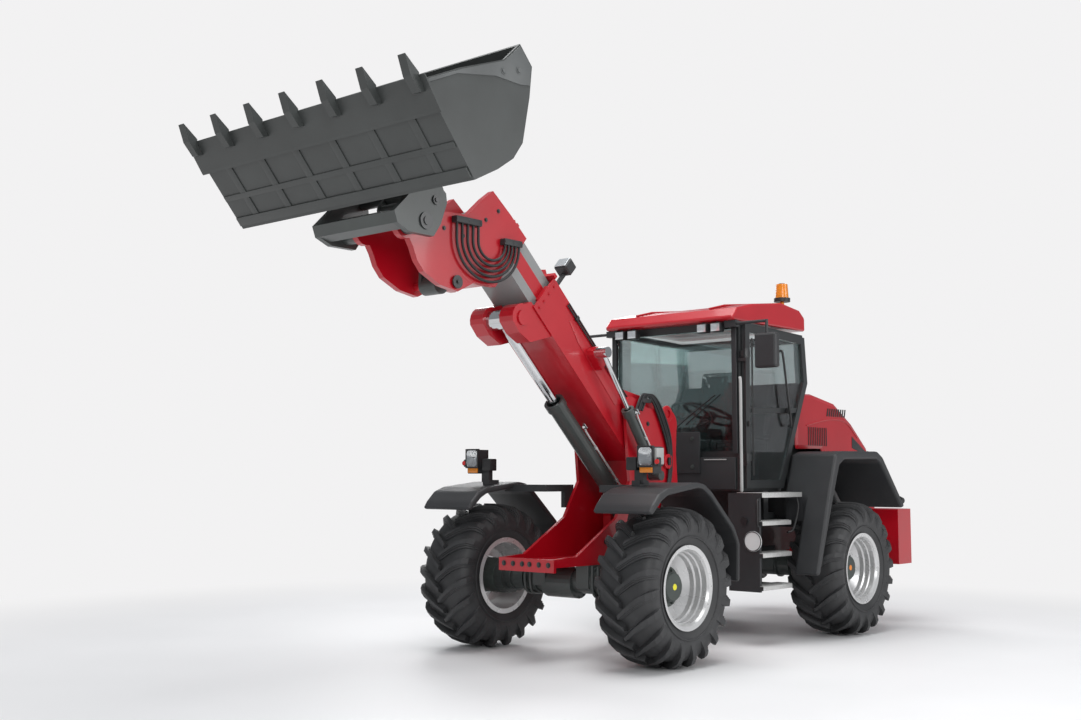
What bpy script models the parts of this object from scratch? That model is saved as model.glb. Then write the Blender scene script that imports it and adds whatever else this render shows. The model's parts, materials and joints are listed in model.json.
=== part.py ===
"""Articulated wheel loader with a telescopic boom, modelled in metres.

The machine faces -Y, its left side is +X and the ground is Z = 0. The origin is the middle of the
footprint. Shapes are drawn from the ground point under the front axle, which the empty "machine"
carries; the boom's own shapes are drawn from the boom pivot, with the boom lying level.
"""

from math import asin, atan2, cos, hypot, pi, radians, sin

import bmesh
import bpy
from mathutils import Matrix, Vector

# Driving dimensions
FRONT_AXLE_Y = -0.63  # front axle in the machine's own frame
WHEELBASE = 2.882
TRACK = 1.94
GAP = 0.0004  # between pieces that touch
RUNNING_GAP = 0.006  # between pieces that move past each other
PIN_GAP = 0.0003  # between a pin and its bore

# Wheels
TYRE_RADIUS = 0.627
TYRE_WIDTH = 0.534
RIM_RADIUS = 0.300
FLANGE_RADIUS = 0.330
RIM_WIDTH = 0.458
HUB_RADIUS = 0.150
HUB_REACH = 0.100  # hub end, outboard of the wheel's middle
HUB_DEPTH = 0.220  # hub's inner end, inboard of the wheel's middle
AXLE_TUBE_RADIUS = 0.105
WHEEL_SIDES = 40

# Articulation and chassis
JOINT_Y = 1.44
JOINT_PIN = 0.045
FRAME_HALF = 0.33
NECK_HALF = 0.20
BASE_FLOOR = 0.765  # underside of the front frame, on its axle
FRAME_TOP = 1.14

# Boom and its pivot
PIVOT_Y = 1.0
PIVOT_Z = 1.95
BOOM_ANGLE = radians(43.5)
BOOM_PIN = 0.045
TOWER_PLATE = 0.03
BOOM_HALF = 0.25
TOWER_INNER = BOOM_HALF + 0.018
BOOM_WALL = 0.014
BOOM_TOP = -0.195
BOOM_BOTTOM = -0.558
BOOM_REAR = 0.12
BOOM_FRONT = 1.88
LAMP_LOW = 0.26  # underside of the boom's work light
INNER_HALF = BOOM_HALF - 0.06
INNER_TOP = -0.216
INNER_BOTTOM = -0.520
INNER_REAR = 0.50

# Cylinders: eye places in the side view
LIFT_FOOT = (0.750, 1.187)
CLEVIS = (1.90, -0.71)  # forward and up in the boom's frame
LIFT_EYE_HALF = 0.085
CLEVIS_GAP_HALF = 0.09  # half the width of the lift rod's eye
LEVEL_FOOT = (0.70, 1.50)
LEVEL_EAR = (1.14, -0.30)
LEVEL_X = 0.385
LEVEL_EYE_HALF = 0.058
STEER_FOOT = (0.36, 2.05)  # plan view
STEER_EYE = (0.26, 1.27)
STEER_Z = 0.87
STEER_EYE_HALF = 0.035
STEER_LUG_LOW = STEER_Z - 0.07
STEER_LUG_TOP = STEER_Z - STEER_EYE_HALF - GAP

# Head of the inner boom and its linkage
TILT_PIN = (-2.13, 3.30)
HEAD_HALF = BOOM_HALF - 0.005
HEAD_PLATE = HEAD_HALF - INNER_HALF - GAP
HEAD_PIN = 0.03
HITCH_PIN = 0.022
TILT_PIN_RADIUS = 0.035
LEVER_PLATE = 0.03
LINK_PLATE = 0.022
HEAD_DECK = [(-0.94, 3.475), (-1.26, 3.37), (-1.27, 3.40), (-1.00, 3.505), (-0.955, 3.515)]
LEVER_PIN = (-1.62, 2.94)
LEVER_TOP = (-1.628, 3.36)
TILT_FOOT = (-1.02, 3.60)
TILT_EYE_HALF = 0.056
LEVER_IN = 0.056  # inner face of the lever's cheeks
BACK_AT = 2.43  # rear plate of the head, forward of the boom pivot
LINK_PIN = (-2.035, 3.465)  # on the hitch
HOSES = 5
HOSE_RADIUS = 0.011
HOSE_X = HEAD_HALF + 0.035
HOSE_FRONT = (-1.65, 3.385)  # first hose's upper end, at the front clamp
HOSE_REAR = (-0.96, 3.285)  # its other end, at the rear clamp
HOSE_PITCH = (0.058, 0.040)  # between hoses, at the front clamp and at the rear one
HOSE_DROP = 0.30  # from the rear clamp down to the lowest loop

# Attachment
BUCKET_HALF = 1.26
EDGE_HALF = 1.30
BUCKET_WALL = 0.022
TEETH = 7

# Cab
CAB_HALF = 0.72
CAB_WALL = 0.05
CAB_FRONT = 1.50
CAB_FLOOR = 1.36
CAB_TOP = 2.90
SIDE_WINDOW = [(1.60, 1.75), (1.60, 2.84), (2.58, 2.80), (2.62, 2.39), (2.36, 1.86), (2.31, 1.75)]
BEACON = (0.55, 2.58, 3.15)
DOOR_HINGE = (CAB_HALF + 0.065, 1.535)
HINGE_HEIGHTS = (1.62, 2.56)
HINGE_PIN = 0.008

# Rear body
HOOD_HALF = 0.56
HOOD_FRONT = 2.78
HOOD_WALL = 0.02
HOOD_BASE = 1.40
HOOD_TOP = 2.31
FRAME_END = WHEELBASE + 1.318
REAR_FENDER_OUT = 1.24
STEPS_OUT = 0.98


def material(name, colour, rough=0.5, metal=0.0, alpha=1.0):
    made = bpy.data.materials.new(name)
    made.use_nodes = True
    shader = made.node_tree.nodes["Principled BSDF"]
    shader.inputs["Base Color"].default_value = (*colour, 1.0)
    shader.inputs["Roughness"].default_value = rough
    shader.inputs["Metallic"].default_value = metal
    shader.inputs["Alpha"].default_value = alpha
    return made


RED = (0.62, 0.01, 0.02)
DARK = (0.045, 0.048, 0.05)
STEEL = (0.09, 0.10, 0.10)
LOOKS = {
    "red": dict(colour=RED, rough=0.35),
    "dark": dict(colour=DARK, rough=0.6),
    "steel": dict(colour=STEEL, rough=0.5, metal=0.3),
    "rubber": dict(colour=(0.02, 0.02, 0.02), rough=0.85),
    "silver": dict(colour=(0.6, 0.6, 0.6), rough=0.35, metal=0.8),
    "chrome": dict(colour=(0.8, 0.8, 0.8), rough=0.1, metal=1.0),
    "glass": dict(colour=(0.5, 0.62, 0.6), rough=0.05, alpha=0.3),
    "amber": dict(colour=(0.9, 0.3, 0.02), rough=0.2),
    "cloth": dict(colour=(0.04, 0.04, 0.045), rough=0.9),
}


def mesh_object(name, bm):
    """A new object in the scene from a bmesh, with its faces turned outwards."""
    bmesh.ops.recalc_face_normals(bm, faces=bm.faces)
    mesh = bpy.data.meshes.new(name)
    bm.to_mesh(mesh)
    bm.free()
    obj = bpy.data.objects.new(name, mesh)
    bpy.context.scene.collection.objects.link(obj)
    return obj


def prism(outline, x0, x1, name="shape"):
    """A side-view outline of (y, z) points, swept across the machine from x0 to x1."""
    bm = bmesh.new()
    face = bm.faces.new([bm.verts.new((x0, y, z)) for y, z in outline])
    swept = bmesh.ops.extrude_face_region(bm, geom=[face])
    moved = [v for v in swept["geom"] if isinstance(v, bmesh.types.BMVert)]
    bmesh.ops.translate(bm, verts=moved, vec=(x1 - x0, 0, 0))
    return mesh_object(name, bm)


def slab(outline, z0, z1, name="shape"):
    """A plan-view outline of (x, y) points, swept up from z0 to z1."""
    bm = bmesh.new()
    face = bm.faces.new([bm.verts.new((x, y, z0)) for x, y in outline])
    swept = bmesh.ops.extrude_face_region(bm, geom=[face])
    moved = [v for v in swept["geom"] if isinstance(v, bmesh.types.BMVert)]
    bmesh.ops.translate(bm, verts=moved, vec=(0, 0, z1 - z0))
    return mesh_object(name, bm)


def box(x0, x1, y0, y1, z0, z1, name="shape"):
    return slab([(x0, y0), (x1, y0), (x1, y1), (x0, y1)], z0, z1, name)


def rod(start, end, radius, sides=24, name="shape", end_radius=None):
    """A round bar between two points."""
    start, end = Vector(start), Vector(end)
    along = end - start
    bm = bmesh.new()
    bmesh.ops.create_cone(
        bm,
        cap_ends=True,
        segments=sides,
        radius1=radius,
        radius2=radius if end_radius is None else end_radius,
        depth=along.length,
    )
    turn = Vector((0, 0, 1)).rotation_difference(along.normalized()).to_matrix().to_4x4()
    bmesh.ops.transform(bm, matrix=Matrix.Translation((start + end) / 2) @ turn, verts=bm.verts)
    return mesh_object(name, bm)


def bore(start, end, pin_radius, sides=24):
    """Cutter for a hole that turns on a pin of the same number of sides."""
    return rod(start, end, pin_radius / cos(pi / sides) + PIN_GAP, sides)


def turned(profile, sides=48, name="shape"):
    """A closed (x, radius) profile turned about the X axis."""
    bm = bmesh.new()
    rings = []
    for i in range(sides):
        angle = 2 * pi * i / sides
        rings.append([bm.verts.new((x, r * cos(angle), r * sin(angle))) for x, r in profile])
    count = len(profile)
    for i in range(sides):
        here, after = rings[i], rings[(i + 1) % sides]
        for j in range(count):
            k = (j + 1) % count
            bm.faces.new((here[j], here[k], after[k], after[j]))
    return mesh_object(name, bm)


def arc(cy, cz, radius, start, end, steps=8):
    """Points on a circle in the side view; angles in degrees, from +Y towards +Z."""
    turn = [radians(start + (end - start) * i / steps) for i in range(steps + 1)]
    return [(cy + radius * cos(a), cz + radius * sin(a)) for a in turn]


def bar_outline(start, end, start_radius, end_radius):
    """Side view of a flat bar with a round boss at each end."""
    turn = atan2(end[1] - start[1], end[0] - start[0]) * 180 / pi
    far = arc(*end, end_radius, turn - 90, turn + 90, 6)
    near = arc(*start, start_radius, turn + 90, turn + 270, 6)
    return far + near


def settled(obj):
    """The object with its modifiers made part of its mesh."""
    graph = bpy.context.evaluated_depsgraph_get()
    mesh = bpy.data.meshes.new_from_object(obj.evaluated_get(graph))
    obj.modifiers.clear()
    obj.data = mesh
    return obj


def combined(obj, others, operation):
    for other in others:
        step = obj.modifiers.new(operation, "BOOLEAN")
        step.operation = operation
        step.object = other
        bpy.context.view_layer.update()
        settled(obj)
        bpy.data.objects.remove(other)
    return obj


def joined(obj, *others):
    return combined(obj, others, "UNION")


def cut(obj, *others):
    return combined(obj, others, "DIFFERENCE")


def softened(obj, width, segments=2, angle=40):
    """Rounds the edges that are sharper than the angle."""
    step = obj.modifiers.new("Bevel", "BEVEL")
    step.width = width
    step.segments = segments
    step.limit_method = "ANGLE"
    step.angle_limit = radians(angle)
    bpy.context.view_layer.update()
    return settled(obj)


def mirrored(obj):
    """A copy of the object on the other side of the machine's middle plane."""
    bm = bmesh.new()
    bm.from_mesh(obj.data)
    bmesh.ops.scale(bm, vec=(-1, 1, 1), verts=bm.verts)
    bmesh.ops.reverse_faces(bm, faces=bm.faces)
    return mesh_object("mirror", bm)


def empty(name, parent, place=(0, 0, 0), turn=0.0):
    made = bpy.data.objects.new(name, None)
    bpy.context.scene.collection.objects.link(made)
    made.location = place
    made.rotation_euler.x = turn
    made.parent = parent
    return made


def node(obj, name, look, parent, pivot=None):
    """Names the finished piece, gives it its material and puts its origin on its pivot."""
    obj.name = name
    obj.data.name = name
    obj.data.materials.clear()
    obj.data.materials.append(material(name, **LOOKS[look]))
    if pivot is not None:
        obj.data.transform(Matrix.Translation(-Vector(pivot)))
        obj.location = pivot
    obj.parent = parent
    obj.data.shade_smooth()
    obj.data.set_sharp_from_angle(angle=radians(35))
    return obj


# ---------------------------------------------------------------- wheels and axles

def wheel_rim():
    """Rim barrel, dished disc and hub, about X, with the outer face at +X."""
    half, wall = RIM_WIDTH / 2, 0.012
    inner = RIM_RADIUS - wall
    disc = HUB_REACH - 0.09
    return turned(
        [
            (-half, FLANGE_RADIUS),
            (-half, inner),
            (disc - 0.02, inner - 0.02),
            (disc - 0.02, HUB_RADIUS + 0.03),
            (-HUB_DEPTH, HUB_RADIUS),
            (-HUB_DEPTH, 0.001),
            (HUB_REACH, 0.001),
            (HUB_REACH, 0.08),
            (HUB_REACH - 0.04, HUB_RADIUS),
            (disc, HUB_RADIUS + 0.03),
            (disc, inner - 0.03),
            (half, inner + 0.006),
            (half, FLANGE_RADIUS),
            (half - 0.014, RIM_RADIUS),
            (-half + 0.014, RIM_RADIUS),
        ],
        sides=WHEEL_SIDES,
        name="rim",
    )


def tyre():
    half = TYRE_WIDTH / 2
    bead = RIM_WIDTH / 2 - 0.014 - GAP
    return turned(
        [
            (-bead, RIM_RADIUS + GAP),
            (-bead, FLANGE_RADIUS + 0.004),
            (-half, FLANGE_RADIUS + 0.10),
            (-half, TYRE_RADIUS - 0.10),
            (-half + 0.04, TYRE_RADIUS - 0.02),
            (-half + 0.10, TYRE_RADIUS),
            (half - 0.10, TYRE_RADIUS),
            (half - 0.04, TYRE_RADIUS - 0.02),
            (half, TYRE_RADIUS - 0.10),
            (half, FLANGE_RADIUS + 0.10),
            (bead, FLANGE_RADIUS + 0.004),
            (bead, RIM_RADIUS + GAP),
        ],
        sides=WHEEL_SIDES,
        name="tyre",
    )


def wheels(parent):
    for end, y in (("front", 0.0), ("rear", WHEELBASE)):
        for side, sign in (("left", 1), ("right", -1)):
            for piece, make, look in (("rim", wheel_rim, "silver"), ("tyre", tyre, "rubber")):
                obj = make()
                if sign < 0:
                    flipped = mirrored(obj)
                    bpy.data.objects.remove(obj)
                    obj = flipped
                node(obj, f"{end}_{side}_{piece}", look, parent)
                obj.location = (sign * TRACK / 2, y, TYRE_RADIUS)


def axle(y, name, parent, seat):
    """Beam axle with its differential housing, hub flanges and the pads that carry the frame."""
    reach = TRACK / 2 - HUB_DEPTH - GAP
    z = TYRE_RADIUS
    beam = rod((-reach, y, z), (reach, y, z), AXLE_TUBE_RADIUS)
    bulge = rod((-0.22, y, z - 0.02), (0.10, y, z - 0.02), 0.13)
    nose = rod((0, y, z - 0.02), (0, y + 0.30, z - 0.02), 0.09, end_radius=0.06)
    flange = rod((reach - 0.09, y, z), (reach, y, z), 0.145)
    pad = box(0.17, 0.30, y - 0.13, y + 0.13, z - 0.05, seat - GAP)
    flange_right, pad_right = mirrored(flange), mirrored(pad)
    obj = joined(beam, bulge, nose, flange, flange_right, pad, pad_right)
    return node(obj, name, "steel", parent)


# ---------------------------------------------------------------- front frame

def joint_lug(low, thick=0.05, half=0.20):
    """Horizontal lug that carries the articulation pin."""
    arm = box(-half, half, 1.14, JOINT_Y, low, low + thick)
    return joined(arm, rod((0, JOINT_Y, low), (0, JOINT_Y, low + thick), half, 32))


def front_frame(parent):
    outer = TOWER_INNER + TOWER_PLATE
    side = (
        [(-0.56, BASE_FLOOR), (-0.56, 0.83), (-0.27, 0.845), (0.25, 1.141), (0.44, 1.45), (0.40, 1.85)]
        + [(0.38, 2.12)]
        + arc(0.46, 2.10, 0.08, 170, 80, 3)
        + [(0.70, 2.09)]
        + arc(PIVOT_Y, PIVOT_Z, 0.14, 120, -20, 8)
        + [(1.12, 1.70), (1.16, 1.20), (1.16, 0.54), (0.80, 0.54), (0.55, BASE_FLOOR)]
    )
    plate = prism(side, TOWER_INNER, outer)
    floor = box(-outer, outer, -0.56, 1.16, BASE_FLOOR, BASE_FLOOR + 0.04)
    rear = box(-outer, outer, 1.12, 1.16, 0.54, 1.30)
    nose = box(-outer, outer, -0.56, -0.53, BASE_FLOOR - 0.04, 0.83)
    foot = joined(
        rod((-LIFT_EYE_HALF - GAP, *LIFT_FOOT), (-0.17, *LIFT_FOOT), 0.10),
        box(-0.17, -LIFT_EYE_HALF - GAP, LIFT_FOOT[0] - 0.09, 1.14, 0.90, LIFT_FOOT[1]),
    )
    foot_web = box(-outer, outer, LIFT_FOOT[0] + 0.15, LIFT_FOOT[0] + 0.18, BASE_FLOOR, 1.30)
    steer_lug = slab(
        [(0.20, 1.14), (0.20, 1.28), (0.24, 1.31), (0.29, 1.31), (0.31, 1.27), (0.297, 1.14)],
        STEER_LUG_LOW, STEER_LUG_TOP,
    )
    lug_top, lug_low = joint_lug(1.00), joint_lug(0.56)
    pin = rod((0, JOINT_Y, 0.55), (0, JOINT_Y, 1.07), JOINT_PIN)
    boom_pin = rod((-outer - 0.012, PIVOT_Y, PIVOT_Z), (outer + 0.012, PIVOT_Y, PIVOT_Z), BOOM_PIN)
    level_lug = prism(
        [(0.60, 1.30)] + arc(*LEVEL_FOOT, 0.07, 150, 0, 5) + [(0.84, 1.30)],
        outer - 0.01,
        LEVEL_X - LEVEL_EYE_HALF - GAP,
    )
    obj = joined(
        plate, mirrored(plate), floor, rear, nose, foot, mirrored(foot), foot_web, lug_top, lug_low, pin,
        boom_pin, level_lug, steer_lug, mirrored(steer_lug),
    )
    return node(obj, "front_frame", "red", parent, (0, JOINT_Y, 0))


FENDER_IN, FENDER_OUT = 0.674, 1.233
FENDER_CREST = [
    (-0.54, 1.215), (-0.50, 1.275), (-0.41, 1.36), (-0.30, 1.40), (0.11, 1.445), (0.20, 1.43), (0.30, 1.37),
    (0.62, 1.09),
    (0.70, 0.95), (0.69, 0.64),
]


def front_fender():
    """Mudguard over the front wheel, with the bracket that ties it to the tower."""
    under = [
        (0.655, 0.64), (0.665, 0.94), (0.59, 1.06), (0.28, 1.33), (0.19, 1.385), (0.11, 1.40), (-0.30, 1.345),
        (-0.38, 1.305), (-0.46, 1.235), (-0.50, 1.20),
    ]
    shell = softened(prism(FENDER_CREST + under, FENDER_IN, FENDER_OUT), 0.022, 2, 12)
    beam = box(TOWER_INNER + TOWER_PLATE + GAP, FENDER_IN + 0.1, 0.02, 0.10, 1.36, 1.42)
    foot = box(TOWER_INNER + TOWER_PLATE + GAP, 0.34, 0.28, 0.40, 1.22, 1.42)
    brace = box(TOWER_INNER + TOWER_PLATE + GAP, 0.34, 0.02, 0.40, 1.36, 1.42)
    return joined(shell, beam, foot, brace)


def headlight():
    """Lamp box on its stalk above the fender's inner edge."""
    lamp = box(0.88, 1.02, -0.206, -0.08, 1.571, 1.725)
    turn_light = box(0.885, 1.015, -0.20, -0.09, 1.515, 1.5712)
    stalk = box(0.80, 0.885, -0.16, -0.11, 1.44, 1.62)
    (y0, z0), (y1, z1) = FENDER_CREST[3:5]
    rest = [(y, z0 + (z1 - z0) * (y - y0) / (y1 - y0) + GAP) for y in (-0.17, -0.05)]
    foot = prism(rest + [(-0.05, 1.46), (-0.17, 1.46)], 0.78, 0.86)
    return joined(lamp, turn_light, stalk, foot)


def front_end(parent):
    front_frame(parent)
    axle(0.0, "front_axle", parent, BASE_FLOOR)
    for side, sign in (("left", 1), ("right", -1)):
        for make, name, look in ((front_fender, "front_fender", "dark"), (headlight, "headlight", "dark")):
            obj = make()
            if sign < 0:
                flipped = mirrored(obj)
                bpy.data.objects.remove(obj)
                obj = flipped
            node(obj, f"{name}_{side}", look, parent)


# ---------------------------------------------------------------- boom

def boom_outline(points):
    """(forward, up) pairs as (y, z) in the boom's frame, where forward is -Y."""
    return [(-forward, up) for forward, up in points]


def tube(f0, f1, half, low, high, wall):
    """A square tube along the boom, open at both ends."""
    body = box(-half, half, -f1, -f0, low, high)
    hole = box(-half + wall, half - wall, -f1 - 0.05, -f0 + 0.05, low + wall, high - wall)
    return cut(body, hole)


def boom_outer(parent):
    body = tube(BOOM_REAR, BOOM_FRONT, BOOM_HALF, BOOM_BOTTOM, BOOM_TOP, BOOM_WALL)
    ear_side = boom_outline(
        [(0.62, BOOM_TOP), (0.30, 0.02)]
        + [(-y, z) for y, z in arc(0, 0, 0.13, 150, -10, 8)]
        + [(-0.06, -0.20), (BOOM_REAR, -0.30), (0.62, -0.30)]
    )
    ear = prism(ear_side, BOOM_HALF - 0.05, BOOM_HALF)
    sleeve = rod((-BOOM_HALF, 0, 0), (BOOM_HALF, 0, 0), 0.095)
    pivot_bore = bore((-BOOM_HALF - 0.1, 0, 0), (BOOM_HALF + 0.1, 0, 0), BOOM_PIN)
    cheek = prism(
        boom_outline(
            [(1.55, BOOM_BOTTOM + 0.02), (1.70, -0.78), (1.84, -0.82)]
            + [(-y, z) for y, z in arc(-CLEVIS[0], CLEVIS[1], 0.115, 240, 120, 6)]
            + [(1.92, BOOM_BOTTOM + 0.02)]
        ),
        CLEVIS_GAP_HALF + GAP, 0.235,
    )
    pin = rod((0.12, -CLEVIS[0], CLEVIS[1]), (BOOM_HALF, -CLEVIS[0], CLEVIS[1]), 0.06)
    level_ear = prism(
        boom_outline(
            [(1.00, -0.36), (1.00, -0.24)]
            + [(-y, z) for y, z in arc(-LEVEL_EAR[0], LEVEL_EAR[1], 0.055, 60, 280, 6)]
        ),
        BOOM_HALF - 0.005, LEVEL_X - LEVEL_EYE_HALF - GAP,
    )
    eye = [(1.62, BOOM_TOP - 0.005), (1.72, -0.06), (1.84, 0.0), (1.88, -0.05), (1.86, BOOM_TOP - 0.005)]
    lifting_eye = prism(boom_outline(eye), -0.015, 0.015)
    mouth = -BOOM_FRONT
    pad_y = (mouth + 0.01, mouth + 0.12)
    into_wall = BOOM_WALL / 2
    side_pad = box(INNER_HALF + GAP, BOOM_HALF - into_wall, *pad_y, -0.45, -0.28)
    top_pad = box(-0.12, 0.12, *pad_y, INNER_TOP + GAP, BOOM_TOP - into_wall)
    low_pad = box(-0.12, 0.12, *pad_y, BOOM_BOTTOM + into_wall, INNER_BOTTOM - GAP)
    bar_half = BOOM_HALF + 0.02
    crossbar = box(-bar_half, bar_half, mouth - 0.035, mouth + 0.005, BOOM_TOP - 0.012, BOOM_TOP + 0.02)
    obj = joined(body, ear, mirrored(ear), sleeve)
    obj = cut(obj, pivot_bore)
    obj = joined(
        obj, cheek, mirrored(cheek), pin, mirrored(pin), level_ear, lifting_eye, crossbar,
        side_pad, mirrored(side_pad), top_pad, low_pad,
    )
    return node(obj, "boom_outer", "red", parent)


def boom_work_light(parent):
    foot = box(-0.13, -0.06, -1.62, -1.54, BOOM_TOP + GAP, BOOM_TOP + 0.012)
    stalk = box(-0.11, -0.08, -1.60, -1.57, BOOM_TOP + GAP, LAMP_LOW + 0.01)
    lamp = softened(box(-0.165, -0.025, -1.67, -1.56, LAMP_LOW, LAMP_LOW + 0.12), 0.012, 1)
    return node(joined(foot, stalk, lamp), "boom_work_light", "dark", parent)


def to_boom(y, z):
    """A side-view point in the boom's own frame."""
    dy, dz = y - PIVOT_Y, z - PIVOT_Z
    return (dy * cos(BOOM_ANGLE) - dz * sin(BOOM_ANGLE), dy * sin(BOOM_ANGLE) + dz * cos(BOOM_ANGLE))


def boom_inner(parent):
    obj = tube(INNER_REAR, 2.42, INNER_HALF, INNER_BOTTOM, INNER_TOP, 0.016)
    return node(obj, "boom_inner", "red", parent)


def gooseneck(parent):
    """Head of the inner boom: two side plates that reach forward to the tilt pin."""
    side = [
        to_boom(*p)
        for p in [
            (-0.83, 3.38), (-1.02, 3.545), (-1.22, 3.70), (-1.33, 3.62), (-1.50, 3.47), (-1.76, 3.455),
            (-1.95, 3.42), (-2.09, 3.405),
        ]
        + arc(*TILT_PIN, 0.10, 90, 290, 10)
        + [(-2.06, 3.15), (-2.02, 3.06), (-1.95, 2.98), (-1.78, 2.90), (-1.60, 2.87), (-1.42, 2.96)]
        + [(-1.19, 2.95)]
    ]
    plate = prism(side, HEAD_HALF - HEAD_PLATE, HEAD_HALF)
    inside = HEAD_HALF - 0.01
    back = box(-inside, inside, -BACK_AT - 0.03, -BACK_AT, INNER_BOTTOM - 0.02, INNER_TOP + 0.01)
    belly_side = [(-1.42, 2.965), (-1.21, 2.965), (-1.22, 2.995), (-1.42, 2.995)]
    belly = prism([to_boom(*p) for p in belly_side], -inside, inside)
    pin = to_boom(*TILT_PIN)
    tilt_pin = rod((HEAD_HALF - HEAD_PLATE, *pin), (HEAD_HALF + 0.05, *pin), TILT_PIN_RADIUS)
    lever = to_boom(*LEVER_PIN)
    lever_pin = rod((-HEAD_HALF - 0.01, *lever), (HEAD_HALF + 0.01, *lever), HEAD_PIN)
    foot = to_boom(*TILT_FOOT)
    foot_plate = prism(
        [to_boom(*p) for p in [(-0.93, 3.46), (-1.15, 3.42)]]
        + [to_boom(*p) for p in arc(*TILT_FOOT, 0.075, 180, 0, 6)],
        TILT_EYE_HALF + GAP, TILT_EYE_HALF + GAP + 0.03,
    )
    deck = prism([to_boom(*p) for p in HEAD_DECK], -inside, inside)
    obj = joined(
        plate, mirrored(plate), back, belly, deck, foot_plate, mirrored(foot_plate), tilt_pin,
        mirrored(tilt_pin), lever_pin,
    )
    return node(obj, "gooseneck", "red", parent)


def hose(number):
    """One hose that hangs as half an ellipse from the front clamp to the rear one."""
    y0 = HOSE_FRONT[0] + number * HOSE_PITCH[0]
    y1 = HOSE_REAR[0] - number * HOSE_PITCH[1]
    middle, half = (y0 + y1) / 2, (y1 - y0) / 2
    drop = HOSE_DROP * half / ((HOSE_REAR[0] - HOSE_FRONT[0]) / 2)
    hang_z = HOSE_REAR[1] - 0.01
    points = [(y0, HOSE_FRONT[1] + 0.02)]
    points += [(middle - half * cos(t * pi / 12), hang_z - drop * sin(t * pi / 12)) for t in range(13)]
    points += [(y1, HOSE_REAR[1] + 0.02)]
    curve = bpy.data.curves.new("hose", "CURVE")
    curve.dimensions = "3D"
    curve.bevel_depth = HOSE_RADIUS
    curve.bevel_resolution = 2
    curve.use_fill_caps = True
    line = curve.splines.new("POLY")
    line.points.add(len(points) - 1)
    for point, place in zip(line.points, points):
        point.co = (HOSE_X, *to_boom(*place), 1.0)
    swept = bpy.data.objects.new("hose", curve)
    bpy.context.scene.collection.objects.link(swept)
    mesh = bpy.data.meshes.new_from_object(swept.evaluated_get(bpy.context.evaluated_depsgraph_get()))
    bpy.data.objects.remove(swept)
    bm = bmesh.new()
    bm.from_mesh(mesh)
    return mesh_object("hose", bm)


def boom_hoses(parent):
    """Hydraulic hoses on the left of the head, held by a clamp block at each end."""
    last = HOSES - 1
    blocks = []
    for (y, z), run in ((HOSE_FRONT, last * HOSE_PITCH[0]), (HOSE_REAR, -last * HOSE_PITCH[1])):
        ends = sorted((y, y + run))
        low, high = ends[0] - 2 * HOSE_RADIUS, ends[1] + 2 * HOSE_RADIUS
        outline = [to_boom(*p) for p in ((low, z), (high, z), (high, z + 0.05), (low, z + 0.05))]
        blocks.append(prism(outline, HEAD_HALF + GAP, HOSE_X + 2 * HOSE_RADIUS))
    obj = joined(hose(0), *blocks, *[hose(i) for i in range(1, HOSES)])
    return node(obj, "boom_hoses", "rubber", parent)


def tilt_linkage(parent):
    """Lever, link and cylinder that turn the hitch; the rod's eye and the link's rear end are open."""
    x = LEVER_IN
    cheek = prism(bar_outline(LEVER_PIN, LEVER_TOP, 0.075, 0.055), x, x + LEVER_PLATE)
    hub = rod((-x - LEVER_PLATE, *LEVER_PIN), (x + LEVER_PLATE, *LEVER_PIN), 0.075)
    lever = joined(hub, cheek, mirrored(cheek))
    lever = cut(lever, bore((-1, *LEVER_PIN), (1, *LEVER_PIN), HEAD_PIN))
    node(lever, "tilt_lever", "steel", parent, (0, *LEVER_PIN))
    x += LEVER_PLATE + GAP
    plate = prism(bar_outline(LINK_PIN, LEVER_TOP, 0.036, 0.045), x, x + LINK_PLATE)
    tube_in = rod((-x - LINK_PLATE, *LINK_PIN), (x + LINK_PLATE, *LINK_PIN), 0.036)
    link = cut(joined(tube_in, plate, mirrored(plate)), bore((-1, *LINK_PIN), (1, *LINK_PIN), HITCH_PIN))
    node(link, "tilt_link", "steel", parent, (0, *LINK_PIN))
    barrel = cylinder_barrel(0, TILT_FOOT, LEVER_TOP, 0.50, 0.055, TILT_EYE_HALF)
    node(barrel, "tilt_cylinder_barrel", "steel", parent, (0, *TILT_FOOT))
    piston = rod_piece(0, TILT_FOOT, LEVER_TOP, 0.50, 0.03, LEVER_IN - GAP, 0.05)
    node(piston, "tilt_cylinder_rod", "chrome", parent, (0, *LEVER_TOP))


# ---------------------------------------------------------------- hitch and bucket

def quick_hitch(parent):
    y, z = TILT_PIN
    ear = prism(
        [(-2.43, 3.33), (-2.40, 3.25), (-2.28, 3.20),
        (-2.05, 3.20), (-1.98, 3.30), (-1.92, 3.46), (-1.93, 3.53),
         (-2.04, 3.62), (-2.27, 3.49)],
        0.40, 0.45,
    )
    hub = rod((HEAD_HALF + RUNNING_GAP, y, z), (0.41, y, z), 0.075)
    beam_side = [(-2.43, 3.33), (-2.40, 3.25), (-2.30, 3.225), (-2.27, 3.33), (-2.33, 3.37)]
    low_beam = prism(beam_side, -0.44, 0.44)
    top_tube = rod((-0.44, -1.985, 3.55), (0.44, -1.985, 3.55), 0.038)
    lug_in = LEVER_IN + LEVER_PLATE + GAP + LINK_PLATE + GAP
    lug = prism(bar_outline((-1.985, 3.55), LINK_PIN, 0.038, 0.04), lug_in, lug_in + 0.03)
    pin = rod((-lug_in - 0.01, *LINK_PIN), (lug_in + 0.01, *LINK_PIN), HITCH_PIN)
    hole = bore((-1, y, z), (1, y, z), TILT_PIN_RADIUS)
    half = joined(ear, hub)
    other = mirrored(half)
    obj = cut(joined(low_beam, half, other, top_tube, lug, mirrored(lug), pin), hole)
    return node(obj, "quick_hitch", "steel", parent, (0, *TILT_PIN))


BUCKET_SKIN = [
    (-2.93, 3.967), (-2.464, 3.411), (-2.245, 3.522),
    (-2.093, 3.623), (-2.00, 3.748), (-1.932, 4.079), (-1.907, 4.302),
]


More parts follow.
